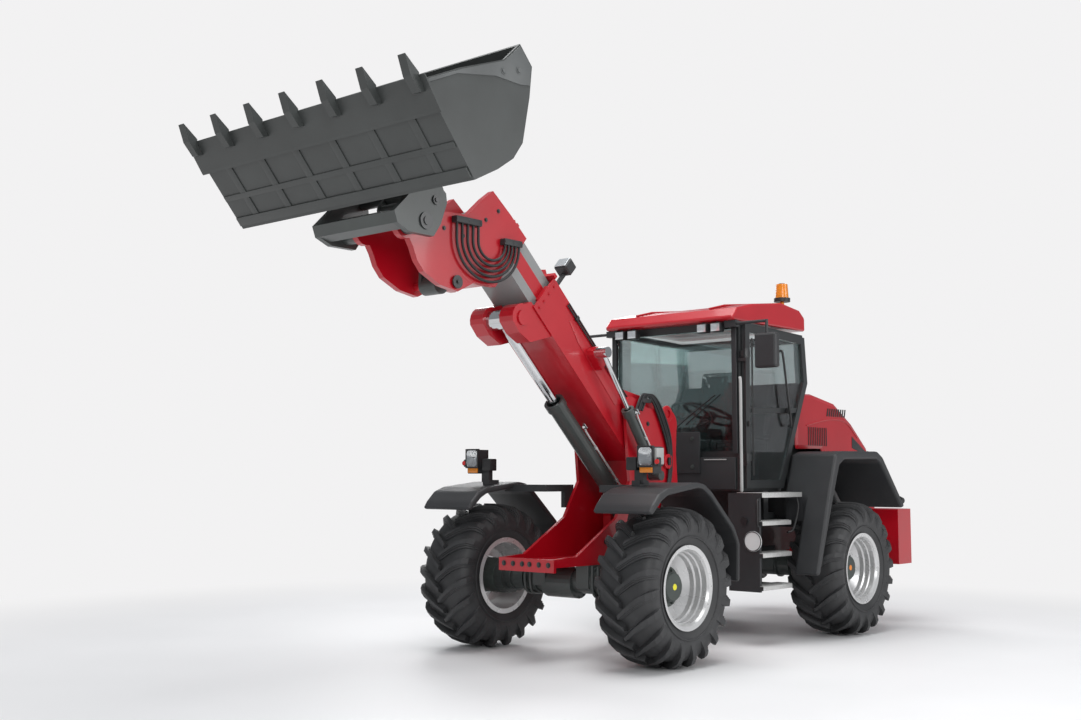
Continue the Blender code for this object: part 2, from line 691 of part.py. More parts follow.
def inset_path(points, distance):
    """The open path moved sideways by a distance, to the right of its direction."""
    moved = []
    for i, (y, z) in enumerate(points):
        before = points[max(i - 1, 0)]
        after = points[min(i + 1, len(points) - 1)]
        sides = []
        for a, b in ((before, (y, z)), ((y, z), after)):
            length = hypot(b[0] - a[0], b[1] - a[1])
            if length:
                sides.append(((b[1] - a[1]) / length, -(b[0] - a[0]) / length))
        ny = sum(s[0] for s in sides) / len(sides)
        nz = sum(s[1] for s in sides) / len(sides)
        scale = distance / (ny * ny + nz * nz)
        moved.append((y + ny * scale, z + nz * scale))
    return moved


def inset_loop(points, distance):
    """The closed outline moved inwards by a distance."""
    count = len(points)
    after = points[1:] + points[:1]
    area = sum(a[0] * b[1] - b[0] * a[1] for a, b in zip(points, after))
    turn = distance if area > 0 else -distance
    moved = []
    for i, (y, z) in enumerate(points):
        sides = []
        for a, b in ((points[i - 1], (y, z)), ((y, z), points[(i + 1) % count])):
            length = hypot(b[0] - a[0], b[1] - a[1])
            sides.append((-(b[1] - a[1]) / length, (b[0] - a[0]) / length))
        ny, nz = (sides[0][0] + sides[1][0]) / 2, (sides[0][1] + sides[1][1]) / 2
        scale = turn / (ny * ny + nz * nz)
        moved.append((y + ny * scale, z + nz * scale))
    return moved


def bucket(parent):
    skin = BUCKET_SKIN + [(-2.031, 4.433)]
    wall = prism(skin + inset_path(skin, -BUCKET_WALL)[::-1], -BUCKET_HALF, BUCKET_HALF)
    side = prism(
        BUCKET_SKIN + [(-2.031, 4.433), (-2.19, 4.283), (-2.608, 4.125), (-2.90, 3.99)],
        BUCKET_HALF - 0.02, BUCKET_HALF,
    )
    hook_side = [(-2.20, 3.56), (-2.06, 3.66), (-1.97, 3.80), (-1.90, 3.74), (-1.93, 3.60)]
    hook = prism(hook_side, 0.45 + GAP, 0.50)
    obj = joined(wall, side, mirrored(side), hook, mirrored(hook))
    return node(obj, "bucket", "steel", parent, (0, *TILT_PIN))


def cutting_edge(parent):
    """Wear blade under the floor's front edge, with its seven teeth."""
    front, heel = Vector((0, *BUCKET_SKIN[0])), Vector((0, *BUCKET_SKIN[1]))
    along = (front - heel).normalized()
    under = Vector((0, -along.z, along.y))
    start = front + under * GAP
    blade = prism(
        flat([start - along * 0.22, start + along * 0.04, start + along * 0.04 + under * 0.006,
              start - along * 0.20 + under * 0.028, start - along * 0.22 + under * 0.028]),
        -EDGE_HALF, EDGE_HALF,
    )
    teeth = []
    for i in range(TEETH):
        x = (i - (TEETH - 1) / 2) * 2 * (EDGE_HALF - 0.09) / (TEETH - 1)
        shape = [
            start - along * 0.07 + under * 0.02, start - along * 0.05 + under * 0.06,
            start + along * 0.07 + under * 0.065, start + along * 0.20 + under * 0.02,
            start + along * 0.05 - under * 0.012, start + along * 0.03 + under * 0.001,
        ]
        teeth.append(prism(flat(shape), x - 0.035, x + 0.035))
    return node(joined(blade, *teeth), "cutting_edge", "steel", parent, (0, *TILT_PIN))


def flat(points):
    """Side-view pairs from vectors."""
    return [(p.y, p.z) for p in points]


# ---------------------------------------------------------------- cylinders

def cylinder_barrel(x, foot, eye, length, radius, eye_half):
    """Barrel from its foot eye towards the rod's eye, open at the end that the rod comes out of."""
    along = (Vector((0, *eye)) - Vector((0, *foot))).normalized()
    start = Vector((x, *foot))
    body = rod(start + along * (radius * 0.7), start + along * length, radius, 24)
    head = rod(start + along * (length - 0.07), start + along * length, radius + 0.012, 24)
    boss = rod((x - eye_half, *foot), (x + eye_half, *foot), radius * 0.95, 24)
    bore = rod(start + along * (radius * 1.6), start + along * (length + 0.05), radius - 0.012, 24)
    return cut(joined(body, head, boss), bore)


def rod_piece(x, foot, eye, length, radius, eye_half, eye_radius):
    """Chrome rod with its eye; its tail stays inside the barrel."""
    along = (Vector((0, *eye)) - Vector((0, *foot))).normalized()
    end = Vector((x, *eye))
    body = rod(end - along * length, end - along * (eye_radius * 0.6), radius, 20)
    boss = rod((x - eye_half, *eye), (x + eye_half, *eye), eye_radius, 24)
    return joined(body, boss)


def side_point(point):
    """A boom point in the side view."""
    forward, up = point
    return (
        PIVOT_Y - forward * cos(BOOM_ANGLE) + up * sin(BOOM_ANGLE),
        PIVOT_Z + forward * sin(BOOM_ANGLE) + up * cos(BOOM_ANGLE),
    )


def cylinders(parent):
    eye = side_point(CLEVIS)
    barrel = cylinder_barrel(0, LIFT_FOOT, eye, 1.34, 0.078, LIFT_EYE_HALF)
    node(barrel, "lift_cylinder_barrel", "steel", parent, (0, *LIFT_FOOT))
    piston = rod_piece(0, LIFT_FOOT, eye, 1.22, 0.042, CLEVIS_GAP_HALF, 0.08)
    node(piston, "lift_cylinder_rod", "chrome", parent, (0, *eye))
    eye = side_point(LEVEL_EAR)
    barrel = cylinder_barrel(LEVEL_X, LEVEL_FOOT, eye, 0.69, 0.045, LEVEL_EYE_HALF)
    node(barrel, "levelling_cylinder_barrel", "steel", parent, (LEVEL_X, *LEVEL_FOOT))
    piston = rod_piece(LEVEL_X, LEVEL_FOOT, eye, 0.66, 0.022, LEVEL_EYE_HALF, 0.045)
    node(piston, "levelling_cylinder_rod", "chrome", parent, (LEVEL_X, *eye))


def steering_cylinders(parent):
    """A cylinder on each side of the articulation, with upright eyes."""
    for side, sign in (("left", 1), ("right", -1)):
        foot = Vector((sign * STEER_FOOT[0], STEER_FOOT[1], STEER_Z))
        eye = Vector((sign * STEER_EYE[0], STEER_EYE[1], STEER_Z))
        along = (eye - foot).normalized()
        up = Vector((0, 0, STEER_EYE_HALF))
        barrel = joined(
            rod(foot + along * 0.02, foot + along * 0.46, 0.035, 20), rod(foot - up, foot + up, 0.042, 20)
        )
        barrel = cut(barrel, rod(foot + along * 0.07, foot + along * 0.6, 0.026, 20))
        node(barrel, f"steering_cylinder_{side}_barrel", "steel", parent, foot)
        piston = joined(rod(eye, eye - along * 0.51, 0.018, 16), rod(eye - up, eye + up, 0.035, 20))
        node(piston, f"steering_cylinder_{side}_rod", "chrome", parent, eye)


# ---------------------------------------------------------------- rear frame and body

def behind_axle(*points):
    """Side-view points given from the rear axle."""
    return [(WHEELBASE + y, z) for y, z in points]


def rear_frame(parent):
    rail = prism(
        [(2.14, 0.62), (2.14, FRAME_TOP), (FRAME_END, FRAME_TOP), (FRAME_END, 0.82), (2.40, 0.82)],
        0.27, FRAME_HALF,
    )
    neck = prism([(1.70, 0.60), (1.70, 1.12), (2.20, 1.12), (2.20, 0.63)], 0.13, NECK_HALF)
    front = box(-NECK_HALF, NECK_HALF, 1.70, 1.75, 0.60, 1.12)
    step = box(-FRAME_HALF, FRAME_HALF, 2.14, 2.20, 0.62, 1.12)
    deck = joined(
        box(-0.28, 0.28, 1.70, 2.2, 1.08, 1.12),
        box(-FRAME_HALF, FRAME_HALF, 2.12, FRAME_END, 1.10, FRAME_TOP)
    )
    steer_lug = slab(
        [(0.18, 1.98), (0.36, 1.99), (0.41, 2.05), (0.36, 2.11), (0.18, 2.13)], STEER_LUG_LOW, STEER_LUG_TOP
    )
    cross = box(-FRAME_HALF, FRAME_HALF, 3.55, 3.60, 0.80, 1.12)
    saddle = box(0.17, FRAME_HALF, WHEELBASE - 0.14, WHEELBASE + 0.14, BASE_FLOOR, 1.12)
    lugs = []
    for low in (0.62, 0.93):
        lug = joined(
            slab([(-0.14, 1.44), (0.14, 1.44), (0.20, 1.72), (-0.20, 1.72)], low, low + 0.06),
            rod((0, JOINT_Y, low), (0, JOINT_Y, low + 0.06), 0.15, 32),
        )
        lugs.append(cut(lug, bore((0, JOINT_Y, low - 0.05), (0, JOINT_Y, low + 0.12), JOINT_PIN)))
    cab_post = box(0.25, 0.60, 1.76, 1.84, 1.05, CAB_FLOOR - GAP)
    cab_post_rear = box(0.25, 0.60, 2.10, 2.18, 1.05, CAB_FLOOR - GAP)
    sill = joined(
        box(HOOD_HALF - 0.07, HOOD_HALF - 0.01, FRAME_END - 0.78, FRAME_END - 0.01, 1.10, HOOD_BASE - GAP),
        box(0.25, HOOD_HALF - 0.01, FRAME_END - 0.70, FRAME_END - 0.60, 1.02, 1.12),
        box(0.25, HOOD_HALF - 0.01, FRAME_END - 0.15, FRAME_END - 0.05, 1.02, 1.12),
    )
    inside = HOOD_HALF - HOOD_WALL - GAP
    bulkhead = joined(
        box(-inside, inside, 2.735, HOOD_FRONT + 0.02, 1.80, HOOD_TOP - 0.07),
        box(-0.48, 0.48, 2.735, HOOD_FRONT, 1.10, 1.85),
    )
    side_carrier = box(0.25, 0.62, 1.76, 1.84, 0.96, 1.06)
    obj = joined(
        rail, mirrored(rail), neck, mirrored(neck), front, step, deck, cross, saddle, mirrored(saddle), *lugs,
        steer_lug, mirrored(steer_lug), cab_post, mirrored(cab_post),
        sill, mirrored(sill), bulkhead,
        cab_post_rear, mirrored(cab_post_rear), side_carrier, mirrored(side_carrier),
    )
    return node(obj, "rear_frame", "dark", parent)


def rear_fender():
    """Arch over the rear wheel; a bracket behind the cab ties it to the frame."""
    top = [(1.95, 0.61), (2.19, 1.33), (2.33, 1.70), (2.42, 1.725)]
    top += behind_axle((0.278, 1.735), (0.388, 1.68), (0.838, 1.20))
    under = behind_axle((0.778, 1.18), (0.338, 1.63), (0.258, 1.66))
    under += [(2.50, 1.65), (2.40, 1.60), (2.27, 1.30), (2.00, 0.61)]
    shell = prism(top + under, HOOD_HALF + 0.02, REAR_FENDER_OUT)
    beside_cab = box(0, CAB_HALF + 0.055, 1.5, 2.76, 0, 3)
    beside_steps = box(0, STEPS_OUT + 0.015, 1.5, 2.18, 0, 3)
    shell = softened(cut(shell, beside_cab, beside_steps), 0.022, 2, 12)
    web = box(FRAME_HALF + GAP, HOOD_HALF + 0.08, 2.80, 2.86, 1.0, 1.70)
    return joined(shell, web)


def counterweight(parent):
    front, rear = FRAME_END + 0.002, FRAME_END + 0.19
    right_half = [(-0.60, front), (-0.60, front - 0.192), (-1.02, front - 0.192)]
    right_half += [(-1.02, rear - 0.09), (-0.75, rear)]
    left_half = [(-x, y) for x, y in reversed(right_half)]
    low = slab(right_half + left_half, 0.60, 1.16)
    high = box(-0.60, 0.60, FRAME_END + GAP, FRAME_END + 0.13, 1.10, 1.36)
    return node(joined(low, high), "counterweight", "red", parent)


def hood(parent):
    top = behind_axle((0.268, 2.32), (0.698, 2.25), (1.068, 2.05), (1.428, 1.78))
    low = behind_axle((1.448, HOOD_BASE), (0.518, HOOD_BASE), (0.418, 1.76))
    outer = prism([(HOOD_FRONT, 1.75), (HOOD_FRONT, HOOD_TOP)] + top + low, -HOOD_HALF, HOOD_HALF)
    outer = softened(outer, 0.05, 2)
    inside = behind_axle((0.268, 2.28), (0.688, 2.21), (1.048, 2.01), (1.378, 1.76), (1.398, 1.0))
    open_front = [(HOOD_FRONT - 0.1, 1.0), (HOOD_FRONT - 0.1, HOOD_TOP - 0.04)]
    hole = prism(open_front + inside, -HOOD_HALF + HOOD_WALL, HOOD_HALF - HOOD_WALL)
    obj = cut(outer, hole)
    return node(obj, "engine_hood", "red", parent, (0, HOOD_FRONT + 0.02, 2.29))


def steps(parent):
    """Left step box: a back panel that carries the platform and three treads."""
    back = box(0.63, 0.67, 1.45, 1.94, 0.48, 1.34)
    end = box(0.63, STEPS_OUT - 0.03, 1.45, 1.48, 0.48, 1.34)
    treads = [box(0.63, STEPS_OUT, 1.45, 1.94, z - 0.035, z) for z in (0.53, 0.815, 1.095)]
    platform = box(0.63, STEPS_OUT, 1.45, 2.14, 1.305, 1.345)
    carrier = box(0.62 + GAP, 0.64, 1.70, 1.90, 0.90, 1.10)
    obj = joined(back, end, *treads, platform, carrier)
    return node(obj, "step_unit_left", "dark", parent)


def right_tank(parent):
    body = box(-0.97, -0.62 - GAP, 1.46, 1.94, 0.50, 1.32)
    return node(softened(body, 0.03, 2), "side_tank_right", "dark", parent)


def cab_side():
    return [
        (CAB_FRONT, CAB_FLOOR), (CAB_FRONT + 0.02, CAB_TOP), (2.66, 2.86), (2.70, 2.39), (2.43, 1.83),
        (2.22, 1.38), (2.21, CAB_FLOOR),
    ]


def cab_frame(parent):
    shell = prism(cab_side(), -CAB_HALF, CAB_HALF)
    inside = [
        (CAB_FRONT + 0.05, CAB_FLOOR + 0.05), (CAB_FRONT + 0.07, CAB_TOP + 0.1), (2.61, CAB_TOP + 0.1),
        (2.65, 2.40), (2.385, 1.85), (2.19, CAB_FLOOR + 0.05),
    ]
    hollow = prism(inside, -CAB_HALF + CAB_WALL, CAB_HALF - CAB_WALL)
    door_hole = prism(
        [(1.60, 1.40), (1.60, 2.84), (2.58, 2.80), (2.62, 2.39), (2.36, 1.86), (2.15, 1.40)],
        CAB_HALF - 0.2, CAB_HALF + 0.2,
    )
    side_hole = prism(SIDE_WINDOW, -CAB_HALF - 0.2, -CAB_HALF + 0.2)
    screen = box(-CAB_HALF + 0.06, CAB_HALF - 0.06, CAB_FRONT - 0.2, CAB_FRONT + 0.2, 1.72, CAB_TOP - 0.07)
    back = box(-CAB_HALF + 0.08, CAB_HALF - 0.08, 2.5, 2.9, 2.40, CAB_TOP - 0.12)
    obj = cut(shell, hollow, door_hole, side_hole, screen, back)
    x, y = DOOR_HINGE
    for z in HINGE_HEIGHTS:
        pin = rod((x, y, z - 0.03), (x, y, z + 0.085), HINGE_PIN, 16)
        obj = joined(obj, pin, box(CAB_HALF - 0.02, x + 0.012, y - 0.022, y + 0.009, z - 0.03, z - GAP))
    return node(obj, "cab_frame", "dark", parent)


def roof(parent):
    underside = CAB_TOP + GAP
    side = [(1.42, underside), (1.40, 2.93), (1.48, 3.02), (1.75, 3.08), (2.27, 3.14), (2.60, 3.10)]
    side += [(2.70, 3.03), (2.70, underside)]
    obj = softened(prism(side, -CAB_HALF - 0.01, CAB_HALF + 0.01), 0.03, 2)
    x, y, z = BEACON
    obj = joined(obj, rod((x, y, CAB_TOP + 0.1), (x, y, z), 0.04, 16))
    return node(obj, "cab_roof", "red", parent)


def pane(outline, x0, x1, name, parent):
    return node(prism(outline, x0, x1), name, "glass", parent)


def glazing(parent):
    g = GAP
    screen_half, back_half = CAB_HALF - 0.06 - g, CAB_HALF - 0.08 - g
    screen_y = (CAB_FRONT + 0.022, CAB_FRONT + 0.030)
    screen = box(-screen_half, screen_half, *screen_y, 1.72 + g, CAB_TOP - 0.07 - g)
    node(screen, "windscreen_glass", "glass", parent)
    low, high = 2.40 + g, CAB_TOP - 0.12 - g
    back = prism([(2.634, low), (2.642, low), (2.636, high), (2.628, high)], -back_half, back_half)
    node(back, "rear_window_glass", "glass", parent)
    side = prism(inset_loop(SIDE_WINDOW, GAP), -CAB_HALF + 0.02, -CAB_HALF + 0.028)
    node(side, "right_window_glass", "glass", parent)


def door(parent):
    x0, x1 = CAB_HALF + 0.005, CAB_HALF + 0.045
    outline = [(1.55, 1.385), (1.56, 2.87), (2.62, 2.83), (2.665, 2.39), (2.40, 1.84), (2.19, 1.385)]
    hole = [(1.62, 1.46), (1.63, 2.80), (2.555, 2.765), (2.595, 2.40), (2.345, 1.88), (2.145, 1.46)]
    frame = cut(prism(outline, x0, x1), prism(hole, x0 - 0.1, x1 + 0.1))
    bar_low, bar_top, bar_rise = 2.058, 2.106, 0.055
    low, high = bar_low + GAP, bar_top - GAP
    bar_side = [(1.50, low), (1.50, high), (2.8, high + bar_rise), (2.8, low + bar_rise)]
    bar = prism(bar_side, x0 + 0.008, x1 - 0.008)
    behind_door = prism([(2.50, 1.9), (2.545, 2.3), (2.9, 2.3), (2.9, 1.9)], 0, 2)
    bar = cut(bar, box(x0 - 0.1, x1 + 0.1, 1.4, 1.61, 1, 3), behind_door)
    knuckles = [rod((*DOOR_HINGE, z), (*DOOR_HINGE, z + 0.08), 0.02, 16) for z in HINGE_HEIGHTS]
    knuckles += [
        box(x0 + 0.002, DOOR_HINGE[0] + 0.01, DOOR_HINGE[1], 1.59, z + 0.01, z + 0.07) for z in HINGE_HEIGHTS
    ]
    holes = [bore((*DOOR_HINGE, z - 0.1), (*DOOR_HINGE, z + 0.2), HINGE_PIN, 16) for z in HINGE_HEIGHTS]
    obj = cut(joined(frame, bar, *knuckles), *holes)
    node(obj, "cab_door", "dark", parent, (*DOOR_HINGE, 0))
    glass_at = (x0 + 0.014, x0 + 0.022)
    over = [(1.50, bar_low), (1.50, 3.0), (2.8, 3.0), (2.8, bar_low + bar_rise)]
    under = [(1.50, bar_top), (1.50, 1.0), (2.8, 1.0), (2.8, bar_top + bar_rise)]
    top = cut(prism(inset_loop(hole, GAP), *glass_at), prism(under, 0, 2))
    low = cut(prism(inset_loop(hole, GAP), *glass_at), prism(over, 0, 2))
    node(top, "door_glass_upper", "glass", parent, (*DOOR_HINGE, 0))
    node(low, "door_glass_lower", "glass", parent, (*DOOR_HINGE, 0))


def interior(parent):
    floor = CAB_FLOOR + 0.05 + GAP
    base = box(-0.24, 0.24, 1.92, 2.14, floor, 1.72)
    node(softened(base, 0.02, 1), "seat_base", "dark", parent)
    cushion = softened(box(-0.26, 0.26, 1.79, 2.31, 1.72 + GAP, 1.84), 0.04, 2)
    node(cushion, "seat_cushion", "cloth", parent)
    side = [(2.20, 1.84 + GAP), (2.32, 1.84 + GAP), (2.47, 2.50), (2.36, 2.52)]
    back = softened(prism(side, -0.25, 0.25), 0.02, 2)
    node(back, "seat_back", "cloth", parent)
    column = joined(box(-0.10, 0.10, 1.56, 1.72, floor, 1.90), rod((0, 1.66, 1.85), (0, 1.78, 2.06), 0.04))
    wheel = steering_wheel()
    node(joined(column, wheel), "steering_column", "dark", parent)
    console = softened(box(-0.52, -0.33, 1.78, 2.14, floor, 1.98), 0.02, 1)
    node(console, "side_console", "dark", parent)


def steering_wheel():
    centre = Vector((0, 1.80, 2.09))
    lean = Vector((0, 0.50, 0.87)).normalized()
    right = Vector((1, 0, 0))
    bm = bmesh.new()
    rings = []
    for i in range(28):
        angle = 2 * pi * i / 28
        across = right * cos(angle) + lean.cross(right) * sin(angle)
        middle = centre + across * 0.19
        rings.append([
            bm.verts.new(middle + across * 0.015 * cos(t) + lean * 0.015 * sin(t))
            for t in (2 * pi * k / 8 for k in range(8))
        ])
    for i in range(28):
        here, after = rings[i], rings[(i + 1) % 28]
        for k in range(8):
            bm.faces.new((here[k], here[(k + 1) % 8], after[(k + 1) % 8], after[k]))
    rim = mesh_object("rim", bm)
    hub = rod(centre - lean * 0.06, centre + lean * 0.015, 0.045)
    spokes = [
        rod(centre, centre + 0.19 * (right * cos(a) + lean.cross(right) * sin(a)), 0.011, 8)
        for a in (radians(30), radians(150), radians(270))
    ]
    return joined(rim, hub, *spokes)


def mirror():
    """Wing mirror on an arm from the cab's front pillar."""
    foot = box(0.62, 0.74, 1.435, CAB_FRONT - GAP, 2.84, CAB_TOP - GAP)
    arm = rod((0.72, 1.46, 2.87), (1.05, 1.46, 2.87), 0.014, 10)
    hang = rod((1.05, 1.46, 2.882), (1.05, 1.46, 2.70), 0.014, 10)
    head = softened(box(0.94, 1.16, 1.42, 1.50, 2.45, 2.76), 0.02, 2)
    return joined(foot, arm, hang, head)


def cab_parts(parent):
    cab_frame(parent)
    roof(parent)
    glazing(parent)
    interior(parent)
    for side, sign in (("left", 1), ("right", -1)):
        obj = mirror()
        if sign < 0:
            flipped = mirrored(obj)
            bpy.data.objects.remove(obj)
            obj = flipped
        node(obj, f"mirror_{side}", "dark", parent)
    x, y, z = BEACON
    beacon = joined(
        rod((x, y, z + GAP), (x, y, z + 0.06), 0.02, 12),
        rod((x, y, z + 0.05), (x, y, z + 0.08), 0.075, 24),
        rod((x, y, z + 0.08), (x, y, z + 0.22), 0.065, 24, end_radius=0.055),
    )
    node(beacon, "beacon", "amber", parent)


def clear_scene():
    for obj in list(bpy.data.objects):
        bpy.data.objects.remove(obj)


def build():
    clear_scene()
    machine = empty("machine", None, (0, FRONT_AXLE_Y, 0))
    boom = empty("boom_pivot", machine, (0, PIVOT_Y, PIVOT_Z), -BOOM_ANGLE)
    wheels(machine)
    front_end(machine)
    boom_outer(boom)
    boom_work_light(boom)
    boom_inner(boom)
    gooseneck(boom)
    boom_hoses(boom)
    quick_hitch(machine)
    bucket(machine)
    cutting_edge(machine)
    tilt_linkage(machine)
    cylinders(machine)
    steering_cylinders(machine)
    rear_frame(machine)
    axle(WHEELBASE, "rear_axle", machine, BASE_FLOOR)
    for side, sign in (("left", 1), ("right", -1)):
        obj = rear_fender()
        if sign < 0:
            flipped = mirrored(obj)
            bpy.data.objects.remove(obj)
            obj = flipped
        node(obj, f"rear_fender_{side}", "dark", machine)
    counterweight(machine)
    hood(machine)
    node(box(-0.26, 0.26, 2.95, 3.95, 1.14 + GAP, 1.85), "engine_block", "steel", machine)
    steps(machine)
    right_tank(machine)
    cab_parts(machine)
    door(machine)


build()
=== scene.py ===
"""Looks for the telescopic articulated wheel loader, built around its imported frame."""

import json
import math
from math import cos, pi, radians, sin, sqrt

import bmesh
import bpy
from mathutils import Matrix, Vector


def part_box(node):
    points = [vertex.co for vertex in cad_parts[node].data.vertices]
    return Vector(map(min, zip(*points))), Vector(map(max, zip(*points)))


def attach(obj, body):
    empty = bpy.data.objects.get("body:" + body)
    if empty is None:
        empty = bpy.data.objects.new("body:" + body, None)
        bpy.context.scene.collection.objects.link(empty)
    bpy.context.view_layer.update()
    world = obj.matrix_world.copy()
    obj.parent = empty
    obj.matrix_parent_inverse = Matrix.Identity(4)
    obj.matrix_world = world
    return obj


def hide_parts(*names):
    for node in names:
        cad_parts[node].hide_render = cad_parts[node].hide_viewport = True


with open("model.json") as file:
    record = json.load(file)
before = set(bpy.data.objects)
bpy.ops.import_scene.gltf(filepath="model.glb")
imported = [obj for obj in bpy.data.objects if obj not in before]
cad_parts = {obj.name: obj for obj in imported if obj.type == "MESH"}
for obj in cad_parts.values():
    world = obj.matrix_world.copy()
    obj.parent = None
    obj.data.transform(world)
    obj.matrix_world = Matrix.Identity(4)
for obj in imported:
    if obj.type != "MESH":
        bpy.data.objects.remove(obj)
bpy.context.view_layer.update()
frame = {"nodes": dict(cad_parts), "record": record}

FRONT_AXLE_Y = -0.63  # the side view below is drawn from the ground point under the front axle
WHEELBASE = 2.882
TRACK = 1.94
TYRE_RADIUS = 0.627
LUGS = 20
BOOM_ANGLE = radians(43.5)
BOOM_PIVOT = (1.0, 1.95)

HEAD_FACE = 0.2454  # the outside of the head's left plate
HOSE_RADIUS = 0.011
HOSE_X = 0.28
HOSE_FRONT = (-1.65, 3.385)  # first hose's upper end, at the front clamp
HOSE_REAR = (-0.96, 3.285)  # its other end, at the rear clamp
HOSE_PITCH = (0.058, 0.040)  # between hoses, at the front clamp and at the rear one
HOSE_DROP = 0.30  # from the rear clamp down to the lowest loop
HOSE_ARC_STEPS = 24
HOSE_LENGTHS = (1.174, 1.030, 0.886, 0.742, 0.598)

CAMERA_PLACE = (6.9706, -8.3128 + FRONT_AXLE_Y, 1.4898)
CAMERA_YAW, CAMERA_PITCH, CAMERA_ROLL = radians(41.314), radians(-5.215), radians(0.045)
FOCAL_PIXELS, FRAME_PIXELS = 1277.07, 1081
FLOOR_REACH = (4.0, 8.5)  # where the lit floor starts and ends its turn into the backdrop


# ---------------------------------------------------------------- materials

def surface(name, colour, rough=0.5, metal=0.0, vary=0.06, scale=6.0, bump=0.0, bump_scale=200.0,
            rough_vary=0.08, coat=0.0, transmission=0.0, alpha=1.0):
    """A Principled material whose colour, roughness and height vary with procedural noise."""
    made = bpy.data.materials.new(name)
    made.use_nodes = True
    tree = made.node_tree
    shader = tree.nodes["Principled BSDF"]
    new, link = tree.nodes.new, tree.links.new
    place = new("ShaderNodeTexCoord")
    noise = new("ShaderNodeTexNoise")
    noise.inputs["Scale"].default_value = scale
    noise.inputs["Detail"].default_value = 4.0
    link(place.outputs["Object"], noise.inputs["Vector"])
    ramp = new("ShaderNodeValToRGB")
    low = [max(c * (1 - vary), 0) for c in colour]
    high = [min(c * (1 + vary), 1) for c in colour]
    ramp.color_ramp.elements[0].position = 0.3
    ramp.color_ramp.elements[1].position = 0.7
    ramp.color_ramp.elements[0].color = (*low, 1)
    ramp.color_ramp.elements[1].color = (*high, 1)
    link(noise.outputs["Fac"], ramp.inputs["Fac"])
    link(ramp.outputs["Color"], shader.inputs["Base Color"])
    span = new("ShaderNodeMapRange")
    span.inputs["To Min"].default_value = max(rough - rough_vary, 0.02)
    span.inputs["To Max"].default_value = min(rough + rough_vary, 1.0)
    link(noise.outputs["Fac"], span.inputs["Value"])
    link(span.outputs["Result"], shader.inputs["Roughness"])
    shader.inputs["Metallic"].default_value = metal
    shader.inputs["Coat Weight"].default_value = coat
    shader.inputs["Coat Roughness"].default_value = 0.06
    shader.inputs["Transmission Weight"].default_value = transmission
    shader.inputs["Alpha"].default_value = alpha
    if bump:
        fine = new("ShaderNodeTexNoise")
        fine.inputs["Scale"].default_value = bump_scale
        fine.inputs["Detail"].default_value = 3.0
        link(place.outputs["Object"], fine.inputs["Vector"])
        height = new("ShaderNodeBump")
        height.inputs["Strength"].default_value = bump
        height.inputs["Distance"].default_value = 0.002
        link(fine.outputs["Fac"], height.inputs["Height"])
        link(height.outputs["Normal"], shader.inputs["Normal"])
    return made


RED = surface("red_paint", (0.40, 0.002, 0.010), 0.34, coat=0.35, vary=0.05, scale=3.0, bump=0.03,
              bump_scale=90)
# A darker copy of the red paint for inside faces: painted shade.
RED_SHADED = surface("red_painted_shade", (0.24, 0.002, 0.008), 0.5, vary=0.12, scale=4.0, bump=0.04)
PLASTIC = surface("dark_plastic", (0.022, 0.023, 0.025), 0.52, vary=0.10, scale=5.0, bump=0.16,
                  bump_scale=420)
PAINT_DARK = surface("dark_paint", (0.020, 0.022, 0.023), 0.36, vary=0.10, scale=4.0, bump=0.03, coat=0.2)
STEEL = surface("grey_green_steel", (0.045, 0.052, 0.050), 0.42, vary=0.12, scale=5.0, bump=0.05, coat=0.15)
BUCKET = surface("bucket_steel", (0.042, 0.046, 0.045), 0.45, vary=0.16, scale=3.0, bump=0.08, bump_scale=60)
RUBBER = surface("tyre_rubber", (0.030, 0.0305, 0.032), 0.55, vary=0.25, scale=7.0, bump=0.20, bump_scale=160)
BLACK = surface("black_rubber", (0.012, 0.012, 0.013), 0.5, vary=0.2, scale=20, bump=0.05)
SILVER = surface("silver_paint", (0.60, 0.60, 0.60), 0.28, metal=0.45, vary=0.05, scale=5.0, bump=0.02)
CHROME = surface("chrome_rod", (0.60, 0.61, 0.62), 0.09, metal=1.0, vary=0.02, scale=8.0, rough_vary=0.03)
ALUMINIUM = surface("aluminium", (0.60, 0.60, 0.59), 0.38, metal=0.6, vary=0.12, scale=60, bump=0.1,
                    bump_scale=300)
GLASS = surface("teal_glass", (0.36, 0.56, 0.54), 0.03, vary=0.02, rough_vary=0.01, transmission=1.0,
                alpha=0.42)
AMBER = surface("amber_lens", (0.85, 0.28, 0.02), 0.16, vary=0.06, scale=30, transmission=0.3)
CLOTH = surface("seat_cloth", (0.035, 0.035, 0.038), 0.9, vary=0.25, scale=240, bump=0.5, bump_scale=900)
HUB = surface("hub_green", (0.050, 0.062, 0.056), 0.48, vary=0.12, scale=14, bump=0.05)
LOOKS = {
    "red": RED, "dark": PLASTIC, "steel": STEEL, "tyre": RUBBER, "silver": SILVER, "chrome": CHROME,
    "glass": GLASS, "amber": AMBER, "cloth": CLOTH,
}
# The bucket's own steel, made lighter for the side plates where they face the light: painted light.
BUCKET_SIDE_LIT = surface("bucket_side_steel_lit", (0.092, 0.098, 0.098), 0.42, vary=0.14, scale=3.0, bump=0.06,
                      bump_scale=60)
GREY_LIGHT = surface("light_grey", (0.36, 0.365, 0.36), 0.4, vary=0.05)
SIGN = surface("blank_sign", (0.62, 0.63, 0.63), 0.35, vary=0.03)
RED_LENS = surface("red_lens", (0.55, 0.02, 0.02), 0.12, vary=0.06, scale=40, coat=0.5)
LENS = surface("lamp_lens", (0.62, 0.65, 0.67), 0.08, vary=0.12, scale=90, metal=0.6, coat=0.6)
COVER = surface("lamp_cover", (0.80, 0.84, 0.86), 0.03, vary=0.02, rough_vary=0.01, transmission=1.0,
                alpha=0.22)
FLOOR = surface("floor", (0.80, 0.80, 0.805), 0.5, vary=0.01, scale=0.8)
BACKDROP = (0.890, 0.885, 0.890)


